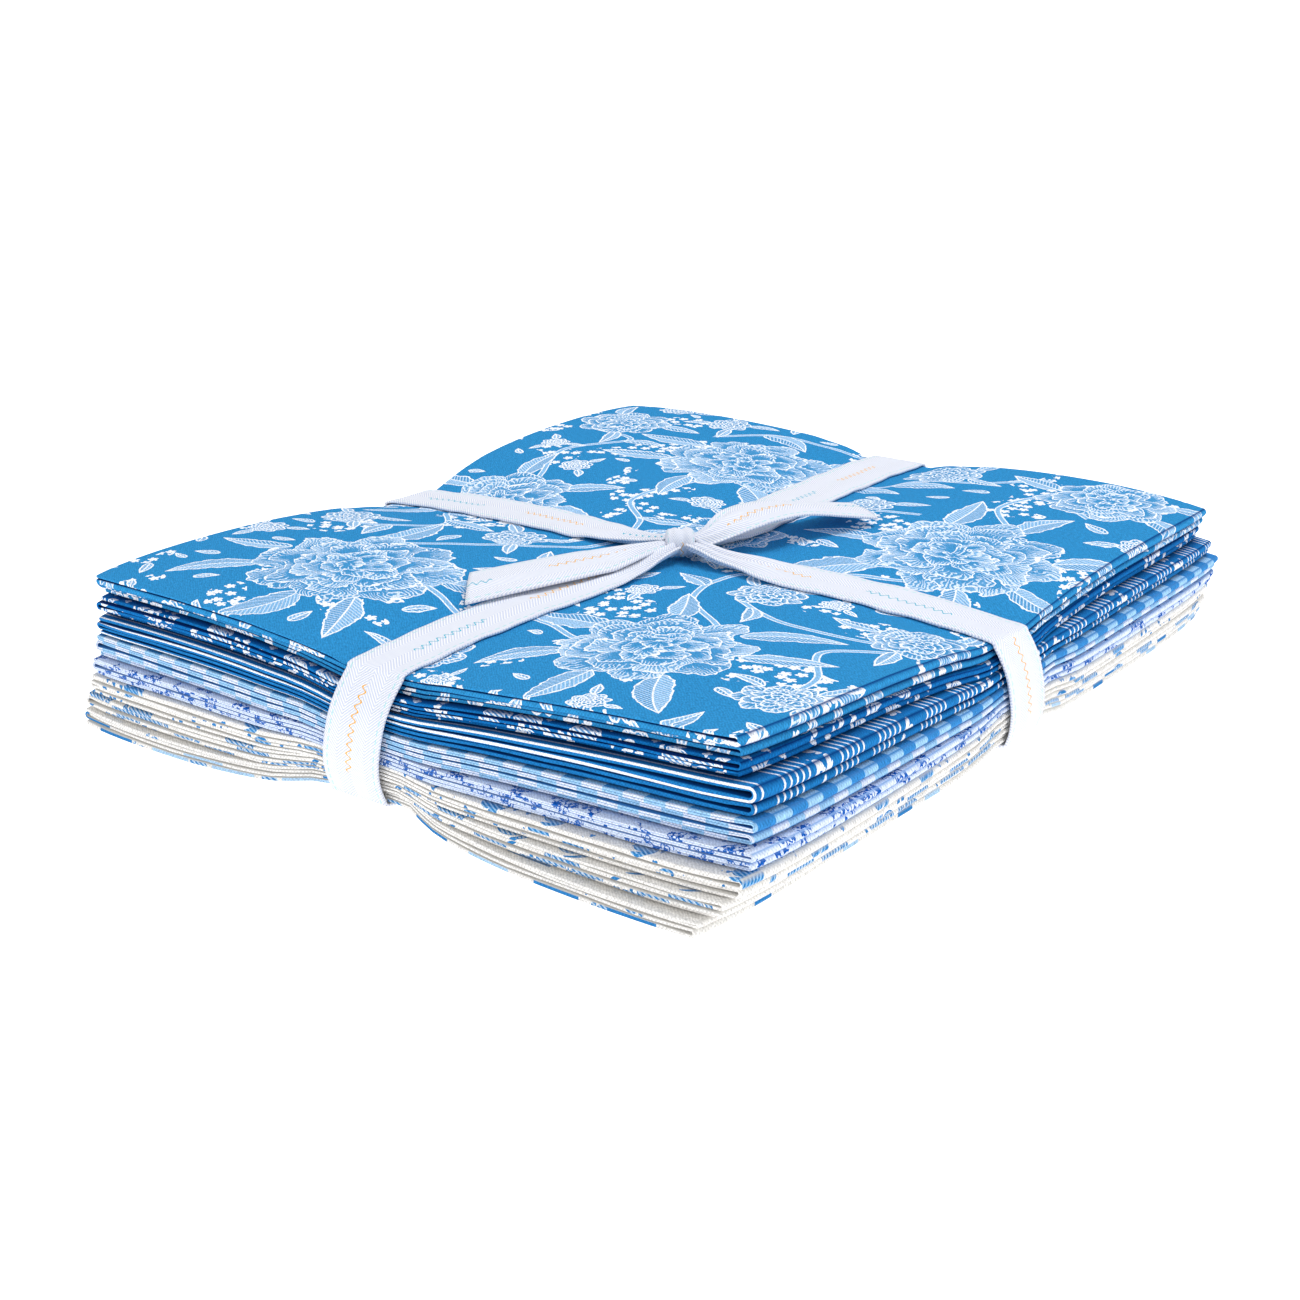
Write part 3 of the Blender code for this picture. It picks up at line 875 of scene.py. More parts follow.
@dataclass(frozen=True)
class LargeFloral(Cotton):
    """Line-drawn peonies, leaves and vines in white and pale blue, all of a plain design.

    A garland writes on the mesh where each place lies in its flower, leaf and stem.
    """

    ground: str = "2D8AC5"
    # The painted shade in the gaps between the folds
    gap: str = "003A7C"
    inks: tuple[str, ...] = ("8FC0EA", "F4F8FF")
    line: float = 0.27
    rings: tuple[Ring, ...] = (
        Ring(0.80, 0.20, 8, 0.3), Ring(0.66, 0.17, 7, 1.0), Ring(0.50, 0.15, 7, 0.1),
        Ring(0.36, 0.12, 6, 0.8), Ring(0.22, 0.11, 5, 0.4), Ring(0.09, 0.07, 5, 0.0),
    )
    # The lengths and swings of the noises that ruffle the petals
    ruffles: tuple[Pair, ...] = ((11.0, 0.30), (2.6, 0.075))
    petal_fill: float = 0.10
    petal_shades: float = 0.34
    hatch_pitch: float = 1.2
    hatch_ink: float = 0.78
    leaf_fill: float = 0.14
    leaf_light: float = 0.26
    vein_pitch: float = 1.5
    vein_width: float = 0.34
    vein_ink: float = 0.72
    rib_half: float = 0.24
    stem_half: float = 1.05
    stem_bare: float = 0.62

    def ink(self) -> Socket:
        """Lays the vines, the leaves and the peonies over the small blossoms.

        Returns:
            The amount of ink.
        """
        ink = self.sprays()
        for layer, cover in (self.vines(), self.leaves(), *self.flowers()):
            ink = self.add("Mix", cover, None, ink, layer)
        return ink

    def sprays(self) -> Socket:
        """Scatters small solid white blossoms, in loose groups.

        Returns:
            The amount of ink.
        """
        groups = self.add("TexNoise", self.place, None, 1 / 26, 1.0, 0.4, noise_dimensions="2D")
        white = self.inside(self.blossoms(spacing=4.4, radius=1.8, petals=5, randomness=0.8))
        return self.add("Math MULTIPLY", white, self.add("Math GREATER_THAN", groups, 0.60))

    def vines(self) -> tuple[Socket, Socket]:
        """The vines: two white lines with pale blue between them.

        Returns:
            The amount of ink, and where it covers.
        """
        add = self.add
        place = add("Attribute", attribute_name="stem", give="Vector")
        side = add("Math ABSOLUTE", add("SeparateXYZ", place, give=1))
        white = add("Math GREATER_THAN", side, self.stem_bare)
        return (add("Math MULTIPLY_ADD", white, 0.5, 0.45),
                add("Math LESS_THAN", side, self.stem_half))

    def leaves(self) -> tuple[Socket, Socket]:
        """The leaves: outline, midrib and veins in white on hatched pale blue.

        Returns:
            The amount of ink, and where it covers.
        """
        add = self.add
        place = add("Attribute", attribute_name="leaf", give="Vector")
        length = add("Attribute", attribute_name="leaf", give="Alpha")
        share, across, half = add("SeparateXYZ", place).node.outputs
        along = add("Math ADD", share, 0.0, use_clamp=True)
        side = add("Math ABSOLUTE", across)
        from_rib = add("Math MULTIPLY", side, half)
        rough = add("TexNoise", self.place, None, 0.28, 2.0, 0.5, noise_dimensions="2D")
        ruffle = add("Math MULTIPLY_ADD", rough, 0.5, 0.75)
        swell = add("Math MULTIPLY", add("Math POWER", along, 0.6), 2.5)
        edge = add("Math MULTIPLY", add("Math MULTIPLY", swell, add("Math SUBTRACT", 1.0, along)),
                   ruffle)
        depth = add("Math MULTIPLY", add("Math SUBTRACT", edge, side), half)
        outline = add("Math LESS_THAN", depth, 2 * self.line)
        rib = add("Math LESS_THAN", from_rib, self.rib_half)
        slanting = add("Math SUBTRACT", add("Math MULTIPLY", along, length), from_rib)
        vein = add("Math FRACT", add("Math DIVIDE", slanting, self.vein_pitch))
        veins = add("Math MULTIPLY", add("Math LESS_THAN", vein, self.vein_width), self.vein_ink)
        fill = add("Math MULTIPLY_ADD", self.inside(across), self.leaf_light, self.leaf_fill)
        ink = outline
        for more in (rib, veins, fill):
            ink = add("Math MAXIMUM", ink, more)
        return ink, self.inside(depth)

    def flowers(self) -> list[tuple[Socket, Socket]]:
        """The peonies: rings of ruffled petals, each laid over the ring outside it.

        Returns:
            For each ring the amount of ink, and where it covers.
        """
        add = self.add
        seed = add("Attribute", attribute_name="flower", give="Alpha")
        place = add("Attribute", attribute_name="flower", give="Vector")
        radius = add("SeparateXYZ", place, give=2)
        moved = add("VectorMath MULTIPLY", place, (1.0, 1.0, 0.0))
        for length, swing in self.ruffles:
            noise = add("TexNoise", self.place, None, 1 / length, 1.0, 0.5,
                        noise_dimensions="2D", give="Color")
            centred = add("VectorMath SUBTRACT", noise, (0.5, 0.5, 0.5))
            flat = add("VectorMath MULTIPLY", centred, (swing, swing, 0.0))
            moved = add("VectorMath ADD", moved, flat)
        distance, angle = self.polar(moved)
        turned = add("Math MULTIPLY_ADD", angle, 1.0, add("Math MULTIPLY", seed, 2.4))
        arc = add("Math MULTIPLY", angle, radius)
        return [self.ring(ring, i * 17.3, distance, turned, radius, arc)
                for i, ring in enumerate(self.rings)]

    def ring(self, ring: Ring, seed: float, distance: Socket, angle: Socket, radius: Socket,
             arc: Socket) -> tuple[Socket, Socket]:
        """One ring of petals, each with its own shade, an outline and tapering hatching.

        Args:
            ring: the ring's sizes.
            seed: what its petals' numbers start from.
            distance: distances from the flower's middle, in units of the radius.
            angle: the angles round the middle.
            radius: the flower's radius in millimetres.
            arc: the angles in millimetres of the flower's outer circle.

        Returns:
            The amount of ink, and where it covers.
        """
        add = self.add
        phase = add("Math MULTIPLY_ADD", angle, ring.petals / math.tau, ring.phase)
        arch = add("Math ABSOLUTE", add("Math SINE", add("Math MULTIPLY", phase, math.pi)))
        edge = add("Math MULTIPLY_ADD", arch, ring.scallop, ring.base)
        depth = add("Math SUBTRACT", edge, distance)
        outline = add("Math LESS_THAN", add("Math MULTIPLY", depth, radius), 2 * self.line)
        petal = add("Math ADD", add("Math FLOOR", phase), seed)
        shade = add("TexWhiteNoise", None, petal, noise_dimensions="1D")
        rim = add("Math MULTIPLY_ADD", shade, self.petal_shades, self.petal_fill)
        deep = add("Math MULTIPLY", depth, 0.75 / ring.scallop, use_clamp=True)
        fill = add("Mix", deep, None, rim, 0.05)
        comb = add("Math SINE", add("Math MULTIPLY", arc,
                                    ring.base * math.tau / self.hatch_pitch))
        reach = add("Math MULTIPLY_ADD", deep, 1.7, add("Math MULTIPLY", shade, -0.7))
        lines = add("Math MULTIPLY", add("Math GREATER_THAN", comb, reach), self.hatch_ink)
        hatched = add("Math MAXIMUM", fill, lines)
        return add("Math MAXIMUM", hatched, outline), self.inside(depth)


@dataclass(frozen=True)
class SmallFloral(Cotton):
    """Scattered white five-petalled flowers on a deep blue."""

    ground: str = "0F6BB2"
    # The painted shade in the gaps between the folds
    gap: str = "002F70"
    inks: tuple[str, ...] = ("6FA9DF", "EDF4FF")

    def ink(self) -> Socket:
        """Draws the print.

        Returns:
            The amount of ink.
        """
        large = self.blossoms(spacing=14.0, radius=5.0, petals=5, randomness=0.6)
        leaves = self.inside(self.blossoms(spacing=7.0, radius=1.3, petals=4))
        outline = self.add("Math COMPARE", large, 0.1, 0.1)
        flowers = self.hatched(large, outline, bare=0.1, fill=0.35)
        return self.add("Math MAXIMUM", flowers, leaves)


@dataclass(frozen=True)
class Ticking(Cotton):
    """Groups of five white bars with small blossoms between them, on mid blue."""

    ground: str = "1E78BC"
    # The painted shade in the gaps between the folds
    gap: str = "003C7A"
    inks: tuple[str, ...] = ("F2F7FF",)
    period: float = 41.7
    second_group: float = 24.0
    pitch: float = 2.45
    bars: int = 5
    bar_share: float = 0.28
    start: float = -166.2
    flower_row: float = 17.3
    flower_row_half: float = 3.4

    def ink(self) -> Socket:
        """Draws the print.

        Returns:
            The amount of ink.
        """
        add = self.add
        across = add("SeparateXYZ", self.place, give=1)
        phase = add("Math FLOORED_MODULO", add("Math SUBTRACT", across, self.start), self.period)
        row = add("Math COMPARE", phase, self.flower_row, self.flower_row_half)
        blossoms = self.inside(self.blossoms(spacing=7.5, radius=3.4, petals=5, randomness=0.3))
        ink = add("Math MULTIPLY", blossoms, row)
        for start in (0.0, self.second_group):
            place = add("Math SUBTRACT", phase, start)
            group = add("Math COMPARE", place, self.pitch * self.bars / 2,
                        self.pitch * (self.bars + self.bar_share - 1) / 2)
            share = add("Math FRACT", add("Math DIVIDE", place, self.pitch))
            bar = add("Math COMPARE", share, 0.5, self.bar_share / 2)
            ink = add("Math MAXIMUM", ink, add("Math MULTIPLY", group, bar))
        return ink


@dataclass(frozen=True)
class Gingham(Cotton):
    """Gingham squares in white, pale blue and mid blue."""

    ground: str = "DDE6F8"
    # The painted shade in the gaps between the folds
    gap: str = "3F7FBE"
    inks: tuple[str, ...] = ("9CC9EC", "3585C8")
    square: Pair = (6.28, 6.2)
    start: Pair = (102.8, -139.2)

    def ink(self) -> Socket:
        """Draws the print.

        Returns:
            The amount of ink.
        """
        add = self.add
        moved = add("VectorMath SUBTRACT", self.place, (*self.start, 0.0))
        pairs = add("VectorMath DIVIDE", moved, (*(2 * side for side in self.square), 1.0))
        x, y, _ = add("SeparateXYZ", add("VectorMath FRACTION", pairs)).node.outputs
        dark = [add("Math GREATER_THAN", share, 0.5) for share in (x, y)]
        return add("Math MULTIPLY", add("Math ADD", *dark), 0.5)


@dataclass(frozen=True)
class Sprig(Cotton):
    """Leafy blue sprigs crowded on a pale lilac blue."""

    ground: str = "D8E3F8"
    # The painted shade in the gaps between the folds
    gap: str = "8CAEDC"
    inks: tuple[str, ...] = ("7FB0E2", "0E59B4")

    def ink(self) -> Socket:
        """Draws the print.

        Returns:
            The amount of ink.
        """
        add = self.add
        groups = add("TexNoise", self.place, None, 1 / 7, 1.0, 0.5, noise_dimensions="2D")
        curls = add("TexNoise", self.place, None, 1 / 4.5, 0.0, 0.5, noise_dimensions="2D")
        curl = add("Math COMPARE", curls, 0.5, 0.025)
        rims = add("Math COMPARE", self.blossoms(spacing=3.1, radius=1.9, petals=3), 0.22, 0.15)
        tiny = self.inside(self.blossoms(spacing=2.3, radius=0.8, petals=4))
        ink = add("Math MAXIMUM", add("Math MAXIMUM", rims, curl), tiny)
        return add("Math MULTIPLY", ink, add("Math GREATER_THAN", groups, 0.52))


@dataclass(frozen=True)
class Dots(Cotton):
    """Sprays of small blue dots on off-white, and a few hatched flowers."""

    def ink(self) -> Socket:
        """Draws the print.

        Returns:
            The amount of ink.
        """
        add = self.add
        groups = add("TexNoise", self.place, None, 1 / 13, 1.0, 0.5, noise_dimensions="2D")
        dots = self.inside(self.blossoms(spacing=3.4, radius=0.85, petals=3, randomness=0.8))
        sprays = add("Math MULTIPLY", dots, add("Math GREATER_THAN", groups, 0.57))
        flowers = self.blossoms(spacing=27.0, radius=4.6, petals=3, randomness=0.5)
        return self.hatched(flowers, sprays, bare=-0.2, fill=0.5)


@dataclass(frozen=True)
class LeafyLines(Cotton):
    """Hatched leaf shapes in blue on off-white."""

    def ink(self) -> Socket:
        """Draws the print.

        Returns:
            The amount of ink.
        """
        leaves = self.blossoms(spacing=19.0, radius=7.0, petals=3, randomness=0.6)
        outline = self.add("Math COMPARE", leaves, 0.06, 0.06)
        return self.hatched(leaves, outline, bare=0.1, fill=0.3)


@dataclass(frozen=True)
class Blocks(Cotton):
    """Blue and pale blue bars in brick rows on off-white, and hatched flowers."""

    inks: tuple[str, ...] = ("A9CBEA", "2F7FC0")
    length: float = 24.0
    rows: float = 12.0
    row_shift: float = 8.7
    middle: Pair = (9.0, 5.0)
    bar: Pair = (15.0, 6.4)

    def ink(self) -> Socket:
        """Draws the print, where each bar is left out, pale or blue by a draw.

        Returns:
            The amount of ink.
        """
        add = self.add
        x, y, _ = add("SeparateXYZ", self.place).node.outputs
        row = add("Math FLOOR", add("Math DIVIDE", y, self.rows))
        moved = add("Math MULTIPLY_ADD", row, self.row_shift, x)
        step = add("Math FLOOR", add("Math DIVIDE", moved, self.length))
        inside = [add("Math COMPARE", add("Math FLOORED_MODULO", place, period), middle, size / 2)
                  for place, period, middle, size
                  in zip((moved, y), (self.length, self.rows), self.middle, self.bar)]
        draw = add("TexWhiteNoise", add("CombineXYZ", row, step), noise_dimensions="2D")
        amount = add("Math ADD", *(add("Math GREATER_THAN", draw, limit)
                                   for limit in (0.45, 0.75)))
        ink = add("Math MULTIPLY", amount, 0.5)
        bars = add("Math MULTIPLY", add("Math MULTIPLY", *inside), ink)
        flowers = self.blossoms(spacing=21.0, radius=3.8, petals=4, randomness=0.5)
        return self.hatched(flowers, bars, bare=0.0, fill=0.4)


@dataclass(frozen=True)
class TwillTape(Finish):
    """White cotton herringbone tape: matt, with slanting ribs and a pale stitch at its edges."""

    white: str = "F6F7FB"
    rib_shade: str = "CBD3E9"
    stitch: str = "B9E0E6"
    # Where the golden and the teal line start, and how far they lie to the side
    lines: tuple[tuple[float, float, str], ...] = ((12.0, 0.6, "EFAF35"), (56.0, -0.6, "3FB4CF"))
    width: float = 19.0
    # The real ribs are 0.7 mm apart, and are drawn at 1.0 mm so that they show
    rib: float = 1.0
    column: float = 4.75
    rib_depth: float = 0.20
    stitch_in: float = 1.5
    stitch_half: float = 0.22
    stitch_pitch: float = 2.6
    stitch_share: float = 0.6
    line_period: float = 88.0
    line_length: float = 26.0
    line_wave: float = 2.3
    line_swing: float = 0.8
    line_half: float = 0.26

    def dress(self) -> bpy.types.Material:
        """Draws the ribs, the stitches and the two wavy lines.

        Returns:
            The material.
        """
        add = self.add
        along, across, _ = add("SeparateXYZ", self.place).node.outputs
        ribs = add("Math ADD", along, add("Math PINGPONG", across, self.column))
        wave = add("Math SINE", add("Math MULTIPLY", ribs, math.tau / self.rib))
        height = add("Math MULTIPLY_ADD", wave, 0.5, 0.5)
        seam = add("Math COMPARE", add("Math ABSOLUTE", across),
                   self.width / 2 - self.stitch_in, self.stitch_half)
        share = add("Math FRACT", add("Math DIVIDE", along, self.stitch_pitch))
        stitches = add("Math MULTIPLY", seam, add("Math LESS_THAN", share, self.stitch_share))
        layers = [(height, self.white), (stitches, self.stitch)]
        layers += [(self.wavy_line(along, across, start, side), code)
                   for start, side, code in self.lines]
        colour = self.rib_shade
        for cover, code in layers:
            colour = add("Mix", cover, *[None] * 5, colour, code, data_type="RGBA", give=2)
        return self.finish(colour, add("Bump", 0.55, self.rib_depth * MM, None, height),
                           Roughness=0.8, Sheen_Weight=0.1, Sheen_Roughness=0.5,
                           Specular_IOR_Level=0.3)

    def wavy_line(self, along: Socket, across: Socket, start: float, side: float) -> Socket:
        """A short fine wavy line, repeated along the tape.

        Args:
            along: places along the tape.
            across: places across it.
            start: where the line starts.
            side: how far the line lies to the side of the tape's middle.

        Returns:
            1 on the line.
        """
        add = self.add
        place = add("Math FLOORED_MODULO", add("Math SUBTRACT", along, start), self.line_period)
        swing = add("Math SINE", add("Math MULTIPLY", place, self.line_wave))
        middle = add("Math MULTIPLY_ADD", swing, self.line_swing, side)
        return add("Math MULTIPLY", add("Math LESS_THAN", place, self.line_length),
                   add("Math COMPARE", across, middle, self.line_half))


@dataclass(frozen=True)
class Sheet:
    """A grid of points with their places on the flat cloth, made into a mesh."""

    points: Array
    flat: Array
    # How free of the painted gap shade each point is, written as the open attribute
    open: Array | None = None

    def mesh(self, name: str, merge: float = 0.002) -> bpy.types.Mesh:
        """Makes the closed mesh, whose first and last rows meet.

        Args:
            name: the mesh's name.
            merge: the distance within which points are one, in millimetres.

        Returns:
            The mesh, smooth and with its faces outwards.
        """
        rows, columns = self.points.shape[:2]
        grid = bmesh.new()
        bmesh.ops.create_grid(grid, x_segments=columns - 1, y_segments=rows - 1, size=1.0)
        layer = grid.loops.layers.uv.new("cloth")
        lit = grid.verts.layers.float.new("open") if self.open is not None else None
        places = [(round((v.co.y + 1) / 2 * (rows - 1)), round((v.co.x + 1) / 2 * (columns - 1)))
                  for v in grid.verts]
        grid.verts.index_update()
        for face in grid.faces:
            face.smooth = True
            for loop in face.loops:
                loop[layer].uv = self.flat[places[loop.vert.index]]
        for vertex, place in zip(grid.verts, places):
            vertex.co = self.points[place] * MM
            if lit is not None:
                vertex[lit] = self.open[place]
        bmesh.ops.remove_doubles(grid, verts=grid.verts, dist=merge * MM)
        bmesh.ops.dissolve_degenerate(grid, edges=grid.edges, dist=merge * MM / 2)
        bmesh.ops.recalc_face_normals(grid, faces=grid.faces)
        mesh = bpy.data.meshes.new(name)
        grid.to_mesh(mesh)
        grid.free()
        return mesh


LIE = Lie()
# What a strip's points hold besides their place: how thick the strip is there, how far it is
# moved to its upper side, and how free of the painted gap shade its upper and its lower side are
THICKNESS, MOVED, UPPER, LOWER = range(3, 7)


@dataclass
class FoldedLength:
    """One length of cloth: a strip of four plies, folded back and forth into four arms.

    right, left, front and back say how far each side reaches past the bundle's nominal
    one, at its lower and its higher end. tucks draws in each arm's front edge, and parts
    shares out the height between the arms. The strip is an array of rows from front to
    back, with columns along it.
    """

    node: str
    index: int
    height: Corners
    right: Pair
    left: Pair
    front: Pair
    back: Pair
    tucks: tuple[float, ...]
    print: type[Cotton]
    lie: Lie = LIE
    top_cell: float = 6.0
    arm_cell: float = 6.0
    depth_cell: float = 6.0
    arms: int = 4
    turn_steps: int = 7
    # Where a fold's face starts to turn into the gap and the painted gap shade begins, and over how
    # much of it the painted shade deepens
    turn_shade_ramp: Pair = (0.5, 0.4)
    one_fold_shade_ramp: Pair = (0.74, 0.24)
    two_folds_shade_ramp: Pair = (0.36, 0.13)
    cap_steps: int = 3
    free_end_set_back: float = 1.5
    second_turn_set_back: float = 1.0
    tuck_waver: float = 0.55
    tuck_waves: float = 70.0
    back_waver: float = 0.4
    thickness_waver: float = 0.16
    thickness_waves: float = 85.0
    hollow: float = 0.20
    hollow_length: float = 5.0
    rim_ups: tuple[float, ...] = (0.97, 0.86, 0.66, 0.44, 0.2, 0.0)
    rim_inset: float = 0.3
    rim_reach: float = 0.45
    rim_girth: float = 0.4
    # How far in from its edges the top arm's upper face is darkened by painted shadow under the
    # packet above, and a gain that keeps a strip along its edges free of it
    ledge_shadow_reach: float = 6.0
    ledge_unshaded_gain: float = 1.15
    split: bool = False
    edge_lines: tuple[float, ...] = (0.0, 1.2, 3.0)
    edge_thinning: float = 0.17
    edge_length: float = 1.6
    slant: float = 0.0
    parts: tuple[float, ...] = (1.0, 1.0, 1.0, 1.0)

    @property
    def down(self) -> float:
        """The length's share of the way down the bundle's sides."""
        return (self.index + 0.5) / self.lie.packets

    def levels(self, x: Array, y: Array) -> tuple[Array, ...]:
        """The heights of the faces below and above this length.

        Args:
            x: places in X.
            y: places in Y.

        Returns:
            The lower and the upper heights.
        """
        u, v = x / self.lie.half_width, y / self.lie.half_depth
        heights = [length.height.at(u, v) for length in LENGTHS]
        low = sum(heights[self.index + 1:], 0 * u) / sum(heights)
        high = low + heights[self.index] / sum(heights)
        floor = self.lie.floor(x, y)
        room = self.lie.top(x, y) - floor
        creases = self.lie.creases(x, y)
        return tuple(floor + room * share + creases * share ** 3 for share in (low, high))

    def arm_faces(self, arm: int, x: Array, y: Array) -> tuple[Array, Array]:
        """The middle height and the thickness of an arm.

        Args:
            arm: the arm's number from the top.
            x: places in X.
            y: places in Y.

        Returns:
            The heights and the thicknesses.
        """
        low, high = self.levels(x, y)
        room = high - low - self.lie.packet_gap - self.lie.arm_gap * (self.arms - 1)
        parts = [part * (1 + self.thickness_waver
                         * Unevenness(self.index * 10 + k, self.thickness_waves, 3).at(x, y))
                 for k, part in enumerate(self.parts)]
        share = room / sum(parts)
        above = sum(parts[:arm], 0 * x) * share + self.lie.arm_gap * arm
        thickness = parts[arm] * share
        return high - self.lie.packet_gap / 2 - above - thickness / 2, thickness

    def ends(self, arm: int, y: Array) -> tuple[Array, Array]:
        """Where an arm's left and right ends lie.

        Args:
            arm: the arm's number from the top.
            y: places in Y.

        Returns:
            The places of the left ends and of the right ends.
        """
        left = self.lie.side(Way.ACROSS, False, self.left, y, self.down)
        right = self.lie.side(Way.ACROSS, True, self.right, y, self.down)
        right = right - self.turn_reach(arm // 2 * 2, right, y)
        if 0 < arm < self.arms - 1:
            left = left + self.turn_reach(1, left, y)
        else:
            left = left + self.free_end_set_back
        if arm >= 2:
            pulled = self.lie.side_pull(y - self.lie.right.at)
            right = right - self.second_turn_set_back * (1 - pulled)
        return left, right

    def turn_reach(self, arm: int, x: Array, y: Array) -> Array:
        """How far the turn after an arm reaches past the arms' ends."""
        return (self.arm_faces(arm, x, y)[1] + self.arm_faces(arm + 1, x, y)[1]) / 2

    def depth_line(self, arm: int, x: Array, share: Array) -> Array:
        """Places in Y of the rows of an arm.

        Args:
            arm: the arm's number from the top.
            x: places in X.
            share: shares of the way from the front to the back edge.

        Returns:
            The places in Y.
        """
        waves = Unevenness(self.index * 10 + arm + 200, self.tuck_waves, 4)
        waver = np.abs(waves.at(x, np.full_like(x, 3.0 * arm)))
        front = self.lie.side(Way.ALONG, False, self.front[::-1], x, self.down,
                              self.tucks[arm] + self.tuck_waver * waver)
        back = self.lie.side(Way.ALONG, True, self.back, x, self.down, self.back_waver * waver)
        return mix(front + self.rim_inset, back - self.rim_inset, share)

    def strip(self) -> Array:
        """The folded strip, with its arms and the turns between them.

        Returns:
            Its points.
        """
        depth = 2 * self.lie.half_depth
        edges = np.array(self.edge_lines)
        inner = np.linspace(2 * edges[-1], depth - 2 * edges[-1], round(depth / self.depth_cell))
        lines = np.concatenate((edges, inner, depth - edges[::-1]))[:, None]
        arms = [self.arm(number, lines, depth) for number in range(self.arms)]
        joined = arms[:1]
        for number, (above, below) in enumerate(zip(arms, arms[1:])):
            joined += [self.turn(above[:, -1:], below[:, :1], number % 2 == 0), below]
        return np.concatenate(joined, 1)

    def arm(self, number: int, lines: Array, depth: float) -> Array:
        """One arm of the strip, thinner at its front and back edges, hollow at its turns, and with
        painted shadow on its faces.

        Args:
            number: its number from the top.
            lines: the rows' distances from the front edge.
            depth: the distance from the front to the back edge.

        Returns:
            Its points.
        """
        half = self.lie.half_depth
        left, right = self.ends(number, mix(-half, half, lines / depth))
        cell = self.top_cell if number == 0 else self.arm_cell
        along = np.linspace(0, 1, round(2 * self.lie.half_width / cell) + 1)
        x = mix(left, right, along if number % 2 == 0 else along[::-1])
        y = self.depth_line(number, x, lines / depth)
        z, thickness = self.arm_faces(number, x, y)
        near_edge = np.exp(-lines / self.edge_length) + np.exp((lines - depth) / self.edge_length)
        near_right = np.exp((x - right) / self.hollow_length)
        near_left = np.exp((left - x) / self.hollow_length) * (0 < number < self.arms - 1)
        hollow = self.hollow * np.maximum(near_right, near_left)
        moved = np.where(near_right >= near_left, hollow, -hollow) * thickness / 2
        inside = np.minimum(np.minimum(x - left, right - x), np.minimum(y - y[0], y[-1] - y))
        # Painted shadow: the top arm's upper face darkens inward from its edges under the packet
        # above, and all other faces take the full painted gap shade
        clear = self.ledge_unshaded_gain * np.exp(-np.maximum(0.0, inside) / self.ledge_shadow_reach) * (number == 0)
        thinned = thickness * (1 - self.edge_thinning * near_edge) * (1 - hollow)
        return np.stack((x, y, z, thinned, moved, np.minimum(1.0, clear), 0 * x), axis=2)

    def turn(self, start: Array, end: Array, right: bool) -> Array:
        """The half circle between two arms.

        Args:
            start: the last points of the arm above.
            end: the first points of the arm below.
            right: whether the turn is at the right side.

        Returns:
            The points between them, for each row.
        """
        share = np.arange(1, self.turn_steps) / self.turn_steps
        angle = math.pi * share
        points = mix(start, end, share[:, None])
        radius = (start[:, :, 2] - end[:, :, 2]) / 2
        points[:, :, 0] += radius * np.sin(angle) * (1 if right else -1)
        points[:, :, 2] = (start[:, :, 2] + end[:, :, 2]) / 2 + radius * np.cos(angle)
        # Painted shade: a turn's outer face darkens towards the valleys where it meets the turns
        # beside it
        seen = self.clear(np.abs(np.cos(angle)), self.turn_shade_ramp)
        points[:, :, UPPER] = seen * right
        points[:, :, LOWER] = seen * (not right)
        return points

    def capped(self, strip: Array) -> Array:
        """Rounds off the two free ends of the strip.

        Args:
            strip: the strip's points.

        Returns:
            The points, with a few more columns at both ends.
        """
        angles = np.linspace(0, math.pi / 2, self.cap_steps + 1)[1:]
        caps = []
        for end, beside in ((0, 1), (-1, -2)):
            run = strip[:, end, :3] - strip[:, beside, :3]
            run = run / np.linalg.norm(run, axis=1, keepdims=True)
            cap = np.repeat(strip[:, end, None], self.cap_steps, axis=1)
            out = cap[:, :, THICKNESS] / 2 * np.sin(angles)
            cap[:, :, :3] += run[:, None] * out[:, :, None]
            cap[:, :, THICKNESS] *= np.cos(angles)
            caps.append(cap)
        return np.concatenate((caps[0][:, ::-1], strip, caps[1]), 1)

    def skin(self) -> Sheet:
        """The strip's whole skin: both faces and the rounded front and back edges.

        Returns:
            The grid of its points, from the middle of the lower face round to it again.
        """
        strip = self.strip()
        run = np.gradient(strip[:, :, :3], axis=1)
        normal = np.stack((-run[:, :, 2], 0 * run[:, :, 0], run[:, :, 0]), axis=2)
        normal /= np.linalg.norm(normal, axis=2, keepdims=True)
        strip[:, :, :3] += normal * strip[:, :, MOVED, None]
        normal = np.pad(normal, ((0, 0), (self.cap_steps, self.cap_steps), (0, 0)), mode="edge")
        strip = self.capped(strip)
        middle, thick = strip[:, :, :3], strip[:, :, THICKNESS]
        steps = np.linalg.norm(np.diff(middle, axis=1), axis=2).mean(axis=0)
        along = np.concatenate(((0.0,), np.cumsum(steps))) - self.lie.half_width
        share = (middle[:, -1, 1] - middle[0, -1, 1]) / (middle[-1, -1, 1] - middle[0, -1, 1])
        last = len(middle) - 1
        ups = [*self.rim_ups, *(-up for up in reversed(self.rim_ups[:-1]))]
        ring = [(row, -1.0, 0.0, 0.0) for row in range(last // 2, -1, -1)]
        ring += [(0, up, -out, clear) for up, out, clear in map(self.rim, reversed(ups))]
        ring += [(row, 1.0, 0.0, 0.0) for row in range(last + 1)]
        ring += [(last, *self.rim(up)) for up in ups]
        ring += [(row, -1.0, 0.0, 0.0) for row in range(last, last // 2 - 1, -1)]
        points, flat, unshaded = [], [], []
        for row, up, out, clear in ring:
            point = middle[row] + normal[row] * (thick[row] / 2 * up)[:, None]
            point[:, 1] += thick[row] / 2 * out * self.rim_reach
            points.append(point)
            across = self.across(thick[row], share[row], up, out) + self.slant * along
